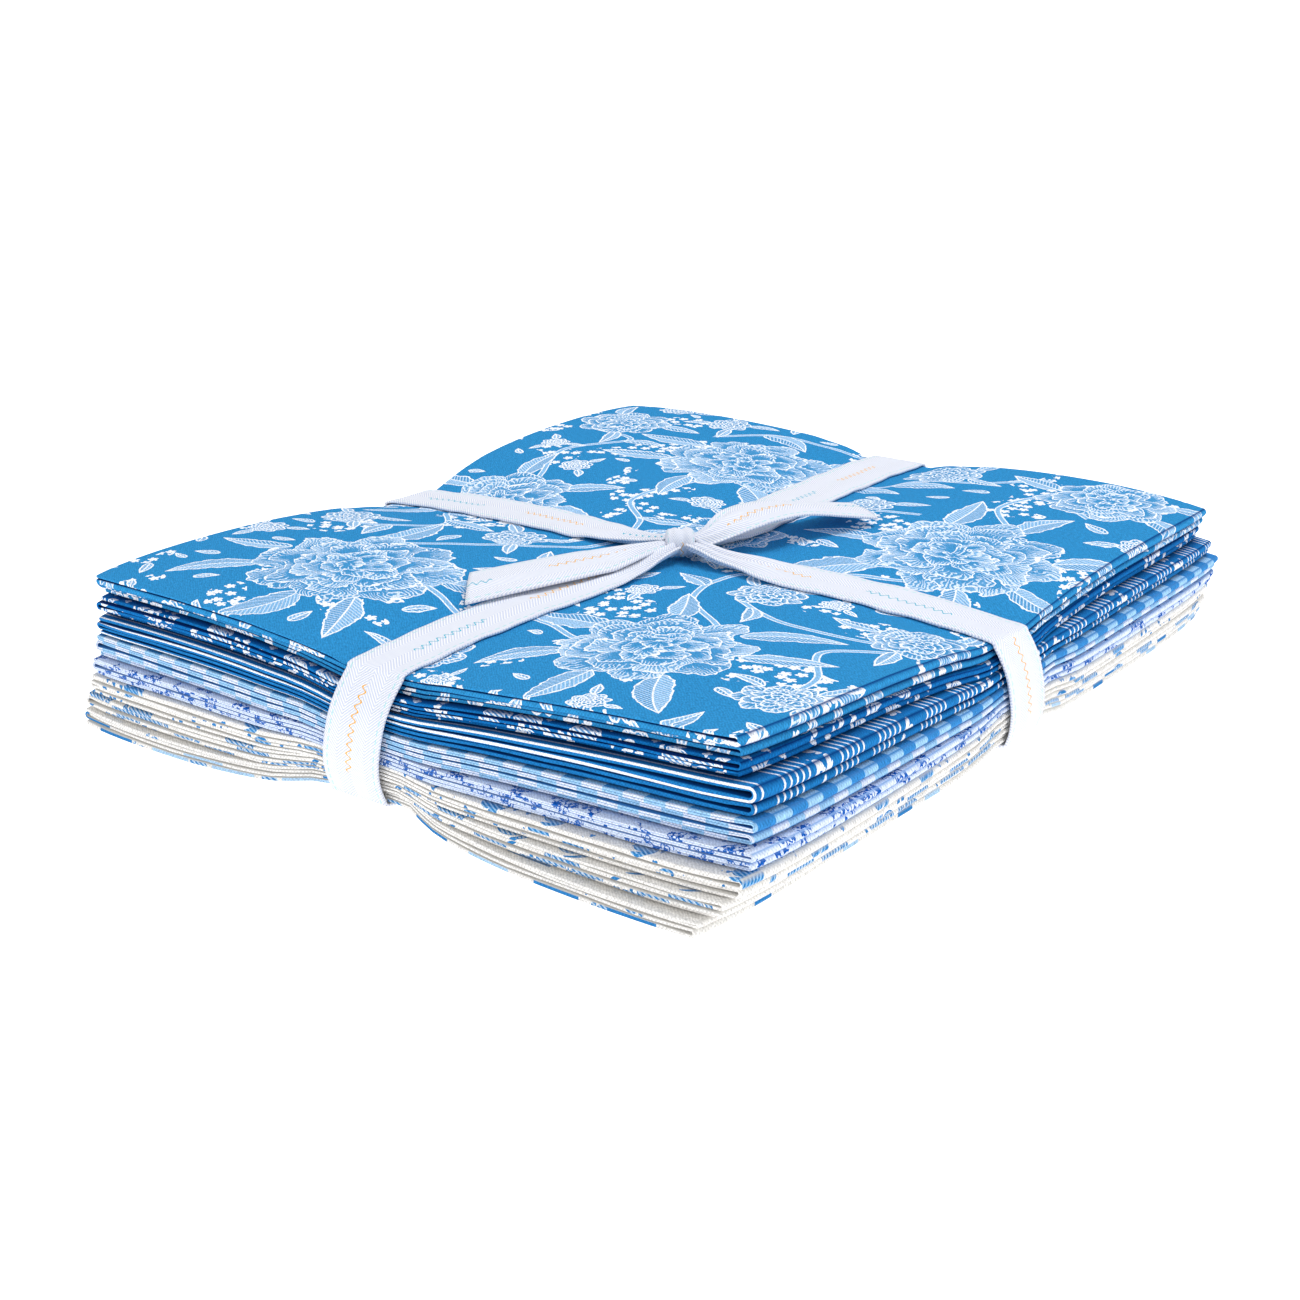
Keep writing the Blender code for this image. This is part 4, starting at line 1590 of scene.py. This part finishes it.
            flat.append(np.stack((along, across), axis=1))
            # How free of the painted gap shade the point is: the rim's own share, or on the faces
            # the strip's share
            seen = strip[row, :, LOWER if up < 0 else UPPER]
            unshaded.append(np.maximum(clear, seen * abs(up)))
        return Sheet(np.array(points), np.array(flat), np.array(unshaded))

    def rim(self, up: float) -> Triple:
        """One line of the rounded front or back edge of an arm, which shows one or two folds.

        Args:
            up: its height, from -1 at the lower face to 1 at the upper face.

        Returns:
            Its height, how far it stands out, and how free it is of the painted shade in the gaps.
        """
        off, seen = abs(up), self.one_fold_shade_ramp
        out = (1 - off ** 3) ** (1 / 3)
        if self.split:
            off, seen = abs(off - 0.5), self.two_folds_shade_ramp
            out = 0.5 + 0.5 * (1 - (2 * off) ** 3) ** (1 / 3)
        return up, out, self.clear(off, seen)

    def clear(self, off: Array, seen: Pair) -> Array:
        """How free of the painted gap shade places on a fold are, at distances from its middle."""
        return 1 - np.clip((off - seen[0]) / seen[1], 0, 1)

    def across(self, thick: Array, share: float, up: float, out: float) -> Array:
        """The place across the flat cloth of one line of the skin.

        Args:
            thick: the thicknesses along the line.
            share: the line's share of the way from the front to the back.
            up: 1 on the upper face, -1 on the lower face and between at an edge.
            out: how far the line stands out at the front, below 0, or the back, above 0.

        Returns:
            The places, which go on round each edge.
        """
        half = self.lie.half_depth
        arc = math.acos(max(-1.0, min(1.0, up))) * thick * self.rim_girth
        if out < 0 or (up < 0 and out == 0 and share <= 0.5):
            return -half - arc - share * 2 * half * (out == 0)
        if out > 0 or up < 0:
            return half + arc + (1 - share) * 2 * half * (out == 0)
        return mix(-half, half, share) + arc

    def build(self, shift: Array) -> None:
        """Makes the length of cloth and dresses it.

        Args:
            shift: the step from the laid-out bundle to its place in the frame.
        """
        sheet = self.skin()
        mesh = Sheet(sheet.points + shift, sheet.flat, sheet.open).mesh(self.node + "_folds")
        if self.print is LargeFloral:
            Garland().write(mesh)
        cotton = self.print("quilting_cotton_" + self.node.removeprefix("cloth_"))
        mesh.materials.append(cotton.dress())
        piece = placed(mesh, self.node, self.node)
        declare(2 * self.lie.half_depth, self.strip_length(), Held.FOLDED,
                BELOW.get(self.node, ()))

    def strip_length(self) -> float:
        """The length of the strip when it is unfolded."""
        steps = np.diff(self.strip()[:, :, :3], axis=1)
        return float(np.linalg.norm(steps, axis=2).sum(axis=1).mean())


def placed(mesh: bpy.types.Mesh, node: str, slot: str) -> bpy.types.Object:
    """Puts a piece in the scene in a node's stead.

    Args:
        mesh: the piece's mesh, in its place.
        node: the node that it stands for.
        slot: the name of a material slot; not used.

    Returns:
        The piece.
    """
    piece = bpy.data.objects.new(mesh.name, mesh)
    bpy.context.scene.collection.objects.link(piece)
    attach(piece, "root")
    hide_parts(node)
    LOG.info("%s: %d faces", mesh.name, len(mesh.polygons))
    return piece


def declare(width: float, length: float, held: Held,
            rests_on: tuple[str, ...]) -> None:
    """Takes the sizes a piece of cloth was cut to, how it is held and what it rests on, and keeps
    none of them.

    Args:
        width: the width that it was cut to, in millimetres; not used.
        length: the length that it was cut to, in millimetres; not used.
        held: how it is held; not used.
        rests_on: the nodes that it rests on.
    """
    list(rests_on)


LENGTHS = (
    FoldedLength("cloth_large_floral", 0, Corners(7.0, 6.4, 5.8, 6.0), (-1.0, 1.5), (-3.0, -1.5),
                 (0.0, -2.0), (-2.0, 0.0), (0.0, 0.6, 2.6, 3.4), LargeFloral,
                 parts=(0.7, 1.4, 0.95, 0.95), ledge_shadow_reach=math.inf,
                 top_cell=1.9, depth_cell=2.2, arm_cell=9.0),
    FoldedLength("cloth_small_floral", 1, Corners(4.8, 5.6, 5.2, 4.9), (-1.5, 0.0), (-3.5, -2.0),
                 (-0.5, -1.8), (-1.0, -1.5), (1.4, 0.2, 0.6, 2.4), SmallFloral,
                 slant=0.004, ledge_shadow_reach=1.2),
    FoldedLength("cloth_ticking", 2, Corners(8.2, 5.4, 5.2, 4.8), (3.5, 3.0), (-3.5, -2.0),
                 (0.5, -1.5), (0.0, 3.0), (0.4, 0.0, 0.8, 0.5), Ticking,
                 parts=(1.15, 1.15, 0.85, 0.85), slant=0.003, ledge_shadow_reach=1.2),
    FoldedLength("cloth_gingham", 3, Corners(7.0, 6.8, 5.6, 5.0), (4.0, 5.0), (-2.5, -1.0),
                 (1.5, -1.0), (1.0, 4.5), (0.2, 0.6, 0.0, 1.0), Gingham,
                 split=True, ledge_shadow_reach=3.0),
    FoldedLength("cloth_blue_sprig", 4, Corners(5.6, 5.2, 5.0, 5.0), (5.0, 4.0), (-1.5, -1.0),
                 (4.0, 0.0), (1.0, 4.5), (0.0, 0.5, 0.2, 0.9), Sprig,
                 split=True, ledge_shadow_reach=5.0),
    FoldedLength("cloth_dotted", 5, Corners(5.8, 5.8, 5.4, 4.8), (4.0, 2.0), (0.0, 0.0),
                 (7.0, 0.5), (1.0, 5.0), (0.6, 0.0, 0.9, 0.3), Dots,
                 parts=(1.3, 1.1, 0.8, 0.8)),
    FoldedLength("cloth_leafy", 6, Corners(5.2, 5.2, 5.0, 4.8), (0.5, 1.0), (2.0, 1.0),
                 (9.5, 1.0), (0.0, 6.0), (0.3, 0.8, 0.0, 1.2), LeafyLines,
                 parts=(0.9, 1.3, 0.9, 0.9), slant=0.006),
    FoldedLength("cloth_blocks", 7, Corners(5.1, 5.6, 5.3, 5.0), (-4.6, -1.0), (3.5, 2.0),
                 (12.0, 1.5), (0.0, 7.0), (0.0, 0.7, 0.4, 0.2), Blocks,
                 parts=(0.9, 0.9, 1.0, 1.2), slant=0.012),
)
BELOW = {above.node: (below.node,) for above, below in zip(LENGTHS, LENGTHS[1:])}


@dataclass(frozen=True)
class TapeRow:
    """A row across the tape: its place, its share of the bundle's height and its rise."""

    at: float
    share: float
    rise: float


@dataclass(frozen=True)
class Tail:
    """One free end of the tape: its path from the knot, with the height above the cloth.

    phase turns its pleats, and cut is the slant of its end, as a share of its width.
    """

    node: str
    phase: float
    cut: float
    path: tuple[Triple, ...]


@dataclass
class Tape:
    """Twill tape 19 mm wide: two runs round the bundle, the knot and the two free ends."""

    lie: Lie
    shift: Array
    width: float = 19.0
    thickness: float = 0.7
    stand: float = 0.8
    below_stand: float = 1.0
    narrow: float = 7.5
    narrow_over: float = 34.0
    folds: float = 2.5
    fold_depth: float = 0.62
    fold_phases: Pair = (0.7, 2.7)
    knot_lift: float = 3.2
    lift_over: float = 13.0
    start: float = 4.0
    top_step: float = 1.5
    top_end: float = 4.0
    under_step: float = 6.0
    under_end: float = 8.0
    side_steps: int = 4
    across_cells: int = 36
    side_rows: tuple[TapeRow, ...] = (
        TapeRow(-3.0, 1.0, 0.85), TapeRow(-0.6, 1.0, 0.75), TapeRow(0.7, 1.0, 0.35),
        TapeRow(1.15, 1.0, -0.6), TapeRow(1.4, 0.75, 0.0), TapeRow(1.55, 0.5, 0.0),
        TapeRow(1.4, 0.25, 0.0), TapeRow(1.1, 0.0, 0.6), TapeRow(0.6, 0.0, -0.55),
        TapeRow(-0.6, 0.0, -0.95), TapeRow(-4.0, 0.0, -1.0),
    )
    tails: tuple[Tail, ...] = (
        Tail("ribbon_tail_front", 0.2, -0.55,
             ((-2.0, -4.0, 4.2), (-4.5, -10.0, 4.2), (-9.0, -21.0, 3.4), (-15.0, -34.0, 2.6),
              (-21.5, -48.0, 2.0), (-28.0, -62.0, 1.4))),
        Tail("ribbon_tail_back", 2.4, -0.13,
             ((1.5, 4.0, 4.4), (3.5, 9.0, 5.4), (6.5, 22.0, 8.0), (11.0, 37.0, 8.0),
              (16.5, 52.0, 5.0), (22.0, 65.0, 2.2))),
    )
    tail_steps: int = 10
    tail_follow: float = 0.6
    tail_start: float = 6.0
    tail_width: float = 20.0
    tail_widen_over: float = 26.0
    tail_crown: float = 0.9
    cut_rows: int = 14
    knot_half: Triple = (4.3, 4.2, 4.5)
    knot_turn: float = 40.0
    knot_rise: float = 0.6
    knot_cells: tuple[int, int] = (64, 40)
    knot_folds: float = 2.6
    knot_fold_depth: float = 0.06
    knot_fold_slant: float = 1.8

    def __post_init__(self) -> None:
        """Makes the tape's finish."""
        self.material = TwillTape("woven_cotton_twill_tape").dress()

    def widened(self, start: float, end: float, share: Array) -> Array:
        """A width that goes smoothly from start to end."""
        share = np.clip(share, 0, 1)
        return mix(start, end, share * share * (3 - 2 * share))

    def pleats(self, side: Array, width: Array, phase: float) -> Array:
        """The lengthwise folds that take up the tape's spare width.

        Args:
            side: places across the tape, from -0.5 to 0.5.
            width: the width that the tape takes up there.
            phase: turns the folds to another place.

        Returns:
            The rise of the tape.
        """
        spare = np.sqrt(np.maximum(0.0, (self.width / width) ** 2 - 1))
        depth = width / (4 * self.folds) * spare * self.fold_depth
        return depth * np.cos(math.tau * self.folds * side + phase)

    def rows(self, way: Way) -> list[TapeRow]:
        """The rows of a run, from one side of the knot round under the bundle to the other.

        Args:
            way: the way that the run goes.

        Returns:
            The rows in order.
        """
        low, high = self.lie.runs(way)
        knot = self.lie.knot[way.value]
        out = np.arange(knot + self.start, high.edge - self.top_end, self.top_step)
        under = np.arange(high.edge - self.under_end, low.edge + self.under_end, -self.under_step)
        back = np.arange(knot - self.start, low.edge + self.top_end, -self.top_step)[::-1]
        return [*(TapeRow(at, 1.0, self.stand) for at in out), *self.down(high, 1),
                *(TapeRow(at, 0.0, -self.below_stand) for at in under),
                *reversed(self.down(low, -1)), *(TapeRow(at, 1.0, self.stand) for at in back)]

    def down(self, run: Run, sign: int) -> list[TapeRow]:
        """The rows down one side of the bundle, on a smooth curve round its swell.

        Args:
            run: the run of tape.
            sign: 1 for the right or back side, -1 for the left or front side.

        Returns:
            The rows from the top down.
        """
        knots = [Vector((row.at, row.share, row.rise)) for row in self.side_rows]
        found = []
        for point in curve_points([knots[0], *knots, knots[-1]], self.side_steps):
            share = min(1.0, max(0.0, point.y))
            out = point.x + run.swell * self.lie.swelling(share)
            found.append(TapeRow(run.edge + sign * out, share, point.z))
        return found

    def run_points(self, way: Way) -> Array:
        """The middle face of a run.

        Args:
            way: the way that the run goes.

        Returns:
            Its points, in rows across the tape.
        """
        side = np.linspace(-0.5, 0.5, self.across_cells + 1)
        found = []
        for row in self.rows(way):
            away = abs(row.at - self.lie.knot[way.value])
            on_top = row.share == 1.0
            width = self.width
            if on_top:
                width = self.widened(self.narrow, width, (away - self.start) / self.narrow_over)
            place = np.full_like(side, row.at)
            middle = mix(self.lie.under(way, place), self.lie.middle(way, place), row.share)
            other = middle + side * width * (1 if way is Way.ACROSS else -1)
            x, y = (place, other) if way is Way.ACROSS else (other, place)
            top = self.lie.top(x, y) + self.lie.creases(x, y) - self.lie.packet_gap / 2
            if way is Way.ACROSS:
                bottom = self.lie.groove + self.lie.lifted(Way.ACROSS, x, y)
            else:
                bottom = self.lie.floor(x, y) + self.lie.packet_gap / 2
            height = mix(bottom, top, row.share) + row.rise
            if on_top:
                depth = self.pleats(side, width, self.fold_phases[way.value])
                height = (height + self.knot_lift * math.exp(-(away / self.lift_over) ** 2)
                          + depth - depth.min())
            found.append(np.stack((x, y, height), axis=1))
        return np.array(found)

    def tail_points(self, tail: Tail) -> Array:
        """The middle face of a free end.

        Args:
            tail: the free end.

        Returns:
            Its points, in rows across the tape.
        """
        knots = [Vector(step) + Vector((*self.lie.knot, 0.0)) for step in tail.path]
        knots = [knots[0] * 2 - knots[1], *knots, knots[-1] * 2 - knots[-2]]
        path = [*curve_points(knots, self.tail_steps), knots[-2]]
        side = np.linspace(-0.5, 0.5, self.across_cells + 1)
        length = 0.0
        found = []
        for i, point in enumerate(path):
            behind, ahead = path[max(i - 1, 0)], path[min(i + 1, len(path) - 1)]
            length += (point - behind).length
            run = (ahead - behind).normalized()
            cross = Vector((run.y, -run.x, 0.0)).normalized()
            share = min(1.0, length / self.tail_widen_over)
            width = self.widened(self.tail_start, self.tail_width, share)
            slant = tail.cut * width * max(0.0, 1 - (len(path) - 1 - i) / self.cut_rows)
            x = point.x + cross.x * side * width + run.x * side * slant
            y = point.y + cross.y * side * width + run.y * side * slant
            crown = self.tail_crown * (1 - 4 * side ** 2) * share
            under = self.lie.top(x, y)
            height = (mix(under.max(), under, self.tail_follow) + point.z + crown
                      + self.pleats(side, width, tail.phase))
            found.append(np.stack((x, y, height), axis=1))
        return np.array(found)

    def strip(self, node: str, middle: Array, rests_on: tuple[str, ...],
              with_pieces: tuple[bpy.types.Object, ...] = ()) -> None:
        """Makes a thin closed strip from the points of its middle face.

        Args:
            node: the node that it stands for.
            middle: the points, in rows across the tape.
            rests_on: the nodes that it lies on.
            with_pieces: the pieces that are on it; not used.
        """
        rows, count = middle.shape[:2]
        steps = np.linalg.norm(np.diff(middle[:, count // 2], axis=0), axis=1)
        along = np.concatenate(((0.0,), np.cumsum(steps)))
        side = np.linspace(-0.5, 0.5, count) * self.width
        normal = np.cross(np.gradient(middle, axis=1), np.gradient(middle, axis=0))
        normal /= np.maximum(1e-6, np.linalg.norm(normal, axis=2, keepdims=True))
        order = [*range(count), *reversed(range(count)), 0]
        sign = np.array([1.0] * count + [-1.0] * count + [1.0])[:, None, None]
        core = middle[:, order].transpose(1, 0, 2)
        skin = core + sign * normal[:, order].transpose(1, 0, 2) * self.thickness / 2
        points = np.concatenate((core[:, :1], skin, core[:, -1:]), 1) + self.shift
        flat = np.stack(np.broadcast_arrays(along[[0, *range(rows), -1]], side[order][:, None]),
                        axis=2)
        mesh = Sheet(points, flat).mesh(node + "_weave")
        mesh.materials.append(self.material)
        piece = placed(mesh, node, "twill_tape")
        declare(self.width, float(along[-1]), Held.LAID, rests_on)

    def knot(self, node: str) -> bpy.types.Object:
        """Makes the knot: the tape's band, wrapped over the crossing with slanting pleats.

        Args:
            node: the node that it stands for.

        Returns:
            The finished knot.
        """
        turn = np.linspace(0, math.tau, self.knot_cells[0] + 1)[:, None]
        side = np.linspace(-1, 1, self.knot_cells[1] + 1)[None, :]
        turn, side = np.broadcast_arrays(turn, side)
        swell = (1 - np.abs(side) ** 9) ** 0.5 * (0.9 + 0.1 * side ** 2)
        phase = self.knot_folds * math.pi * side + self.knot_fold_slant * np.sin(turn) + 0.9
        radius = swell * (1 + self.knot_fold_depth * np.cos(phase) * (1 - side ** 4))
        local = np.stack((side, radius * np.cos(turn), radius * np.sin(turn)), axis=2)
        spin = np.array(Matrix.Rotation(math.radians(self.knot_turn), 3, "Z"))
        base = float(self.lie.top(*(np.array(value) for value in self.lie.knot)))
        points = (local * self.knot_half) @ spin.T
        points += (*self.lie.knot, base + self.knot_rise + self.knot_half[2])
        flat = np.stack((turn * self.knot_half[1], side * self.width / 2), axis=2)
        mesh = Sheet(points + self.shift, flat).mesh(node + "_wraps")
        mesh.materials.append(self.material)
        return placed(mesh, node, "twill_tape")

    def build(self) -> None:
        """Makes all the pieces of the tape."""
        nodes = tuple(length.node for length in LENGTHS)
        knot = self.knot("ribbon_knot")
        self.strip("ribbon_across", self.run_points(Way.ACROSS), nodes)
        self.strip("ribbon_along", self.run_points(Way.ALONG), nodes, (knot,))
        for tail in self.tails:
            self.strip(tail.node, self.tail_points(tail), nodes[:1])


@dataclass(frozen=True)
class Board(Finish):
    """Smooth white studio board, a little brighter than the light on it makes it."""

    grain_size: float = 0.025
    grain_depth: float = 0.0001
    darkest: float = 0.93
    lightest: float = 0.95
    glow: float = 0.62

    @cached_property
    def place(self) -> Socket:
        """Places on the board, in metres."""
        return self.add("TexCoord", give="Object")

    def dress(self) -> bpy.types.Material:
        """Draws the board's faint grain.

        Returns:
            The material.
        """
        grain = self.add("TexNoise", self.place, None, 1 / self.grain_size, 2.0, 0.5)
        tint = self.add("MapRange", grain, 0.0, 1.0, self.darkest, self.lightest)
        return self.finish(self.add("CombineXYZ", tint, tint, tint),
                           self.add("Bump", 0.05, self.grain_depth, None, grain), Roughness=0.9,
                           Emission_Strength=self.glow, Emission_Color=(1.0, 1.0, 1.0, 1.0))


@dataclass(frozen=True)
class SoftLight:
    """A square soft light that points at the bundle: its place and side, and its watts."""

    name: str
    place: Triple
    power: float
    size: float = 0.8

    def hang(self) -> None:
        """Hangs the light."""
        data = bpy.data.lights.new(self.name, "AREA")
        data.size = self.size
        data.energy = self.power
        light = bpy.data.objects.new(self.name, data)
        light.location = self.place
        light.rotation_euler = (-Vector(self.place)).to_track_quat("-Z", "Y").to_euler()
        bpy.context.scene.collection.objects.link(light)


@dataclass
class Studio:
    """A pale floor, soft lights and the camera. The floor and the lights are in metres."""

    camera_at: Triple = (376.9, -535.6, 244.0)
    azimuth: float = 35.9
    elevation: float = 19.7
    roll: float = -0.4
    focal_px: float = 2300.0
    frame_px: float = 1300.0
    centre_px: Pair = (645.0, 642.8)
    sensor: float = 36.0
    floor_half: float = 9.0
    world_strength: float = 0.46
    lights: tuple[SoftLight, ...] = (
        SoftLight("key", (-0.75, -1.35, 0.7), 8.0), SoftLight("fill", (1.4, -0.3, 0.8), 5.5),
        SoftLight("top", (0.3, 0.5, 1.7), 17.5),
    )

    def place_camera(self, shift: Array) -> None:
        """Sets the camera at the photograph's place and angle.

        Args:
            shift: the step from the laid-out bundle to its place in the frame.
        """
        data = bpy.data.cameras.new("camera")
        data.sensor_width = self.sensor
        data.lens = self.focal_px * self.sensor / self.frame_px
        data.shift_x = (self.frame_px / 2 - self.centre_px[0]) / self.frame_px
        data.shift_y = (self.centre_px[1] - self.frame_px / 2) / self.frame_px
        data.clip_start = 0.01
        data.clip_end = 50.0
        camera = bpy.data.objects.new("camera", data)
        matrix = Matrix.Translation(Vector(np.array(self.camera_at) + shift) * MM)
        for angle, axis in ((self.azimuth, "Z"), (90 - self.elevation, "X"), (self.roll, "Z")):
            matrix = matrix @ Matrix.Rotation(math.radians(angle), 4, axis)
        camera.matrix_world = matrix
        bpy.context.scene.collection.objects.link(camera)
        bpy.context.scene.camera = camera

    def lay_floor(self) -> None:
        """Lays the floor."""
        mesh = bpy.data.meshes.new("floor")
        grid = bmesh.new()
        bmesh.ops.create_grid(grid, x_segments=1, y_segments=1, size=self.floor_half)
        grid.to_mesh(mesh)
        grid.free()
        mesh.materials.append(Board("white_studio_board").dress())
        floor = bpy.data.objects.new("floor", mesh)
        bpy.context.scene.collection.objects.link(floor)

    def light_up(self) -> None:
        """Lights the scene softly from all round, with a little more from the front left."""
        world = bpy.data.worlds.new("studio")
        world.use_nodes = True
        background = world.node_tree.nodes["Background"]
        background.inputs["Color"].default_value = (1.0, 1.0, 1.0, 1.0)
        background.inputs["Strength"].default_value = self.world_strength
        bpy.context.scene.world = world
        for light in self.lights:
            light.hang()
        bpy.context.scene.view_settings.view_transform = "Standard"

    def build(self, shift: Array) -> None:
        """Sets up the floor, the lights and the camera.

        Args:
            shift: the step from the laid-out bundle to its place in the frame.
        """
        self.lay_floor()
        self.light_up()
        self.place_camera(shift)


def frame_shift(lie: Lie) -> Array:
    """Works out where the laid-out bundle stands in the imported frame.

    Args:
        lie: how the bundle lies.

    Returns:
        The step from a laid-out place to its place in the frame.
    """
    low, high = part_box("ribbon_knot")
    centre = [(low[i] + high[i]) / 2 / MM for i in range(2)]
    return np.array((centre[0] - lie.knot[0], centre[1] - lie.knot[1], 0.0))


def main() -> None:
    """Builds the scene."""
    logging.basicConfig(level=logging.INFO, format="%(name)s: %(message)s")
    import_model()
    shift = frame_shift(LIE)
    Studio().build(shift)
    for length in LENGTHS:
        length.build(shift)
    Tape(LIE, shift).build()
    LOG.info("studio, %d lengths and the tape are built", len(LENGTHS))


if __name__ == "__main__":
    main()
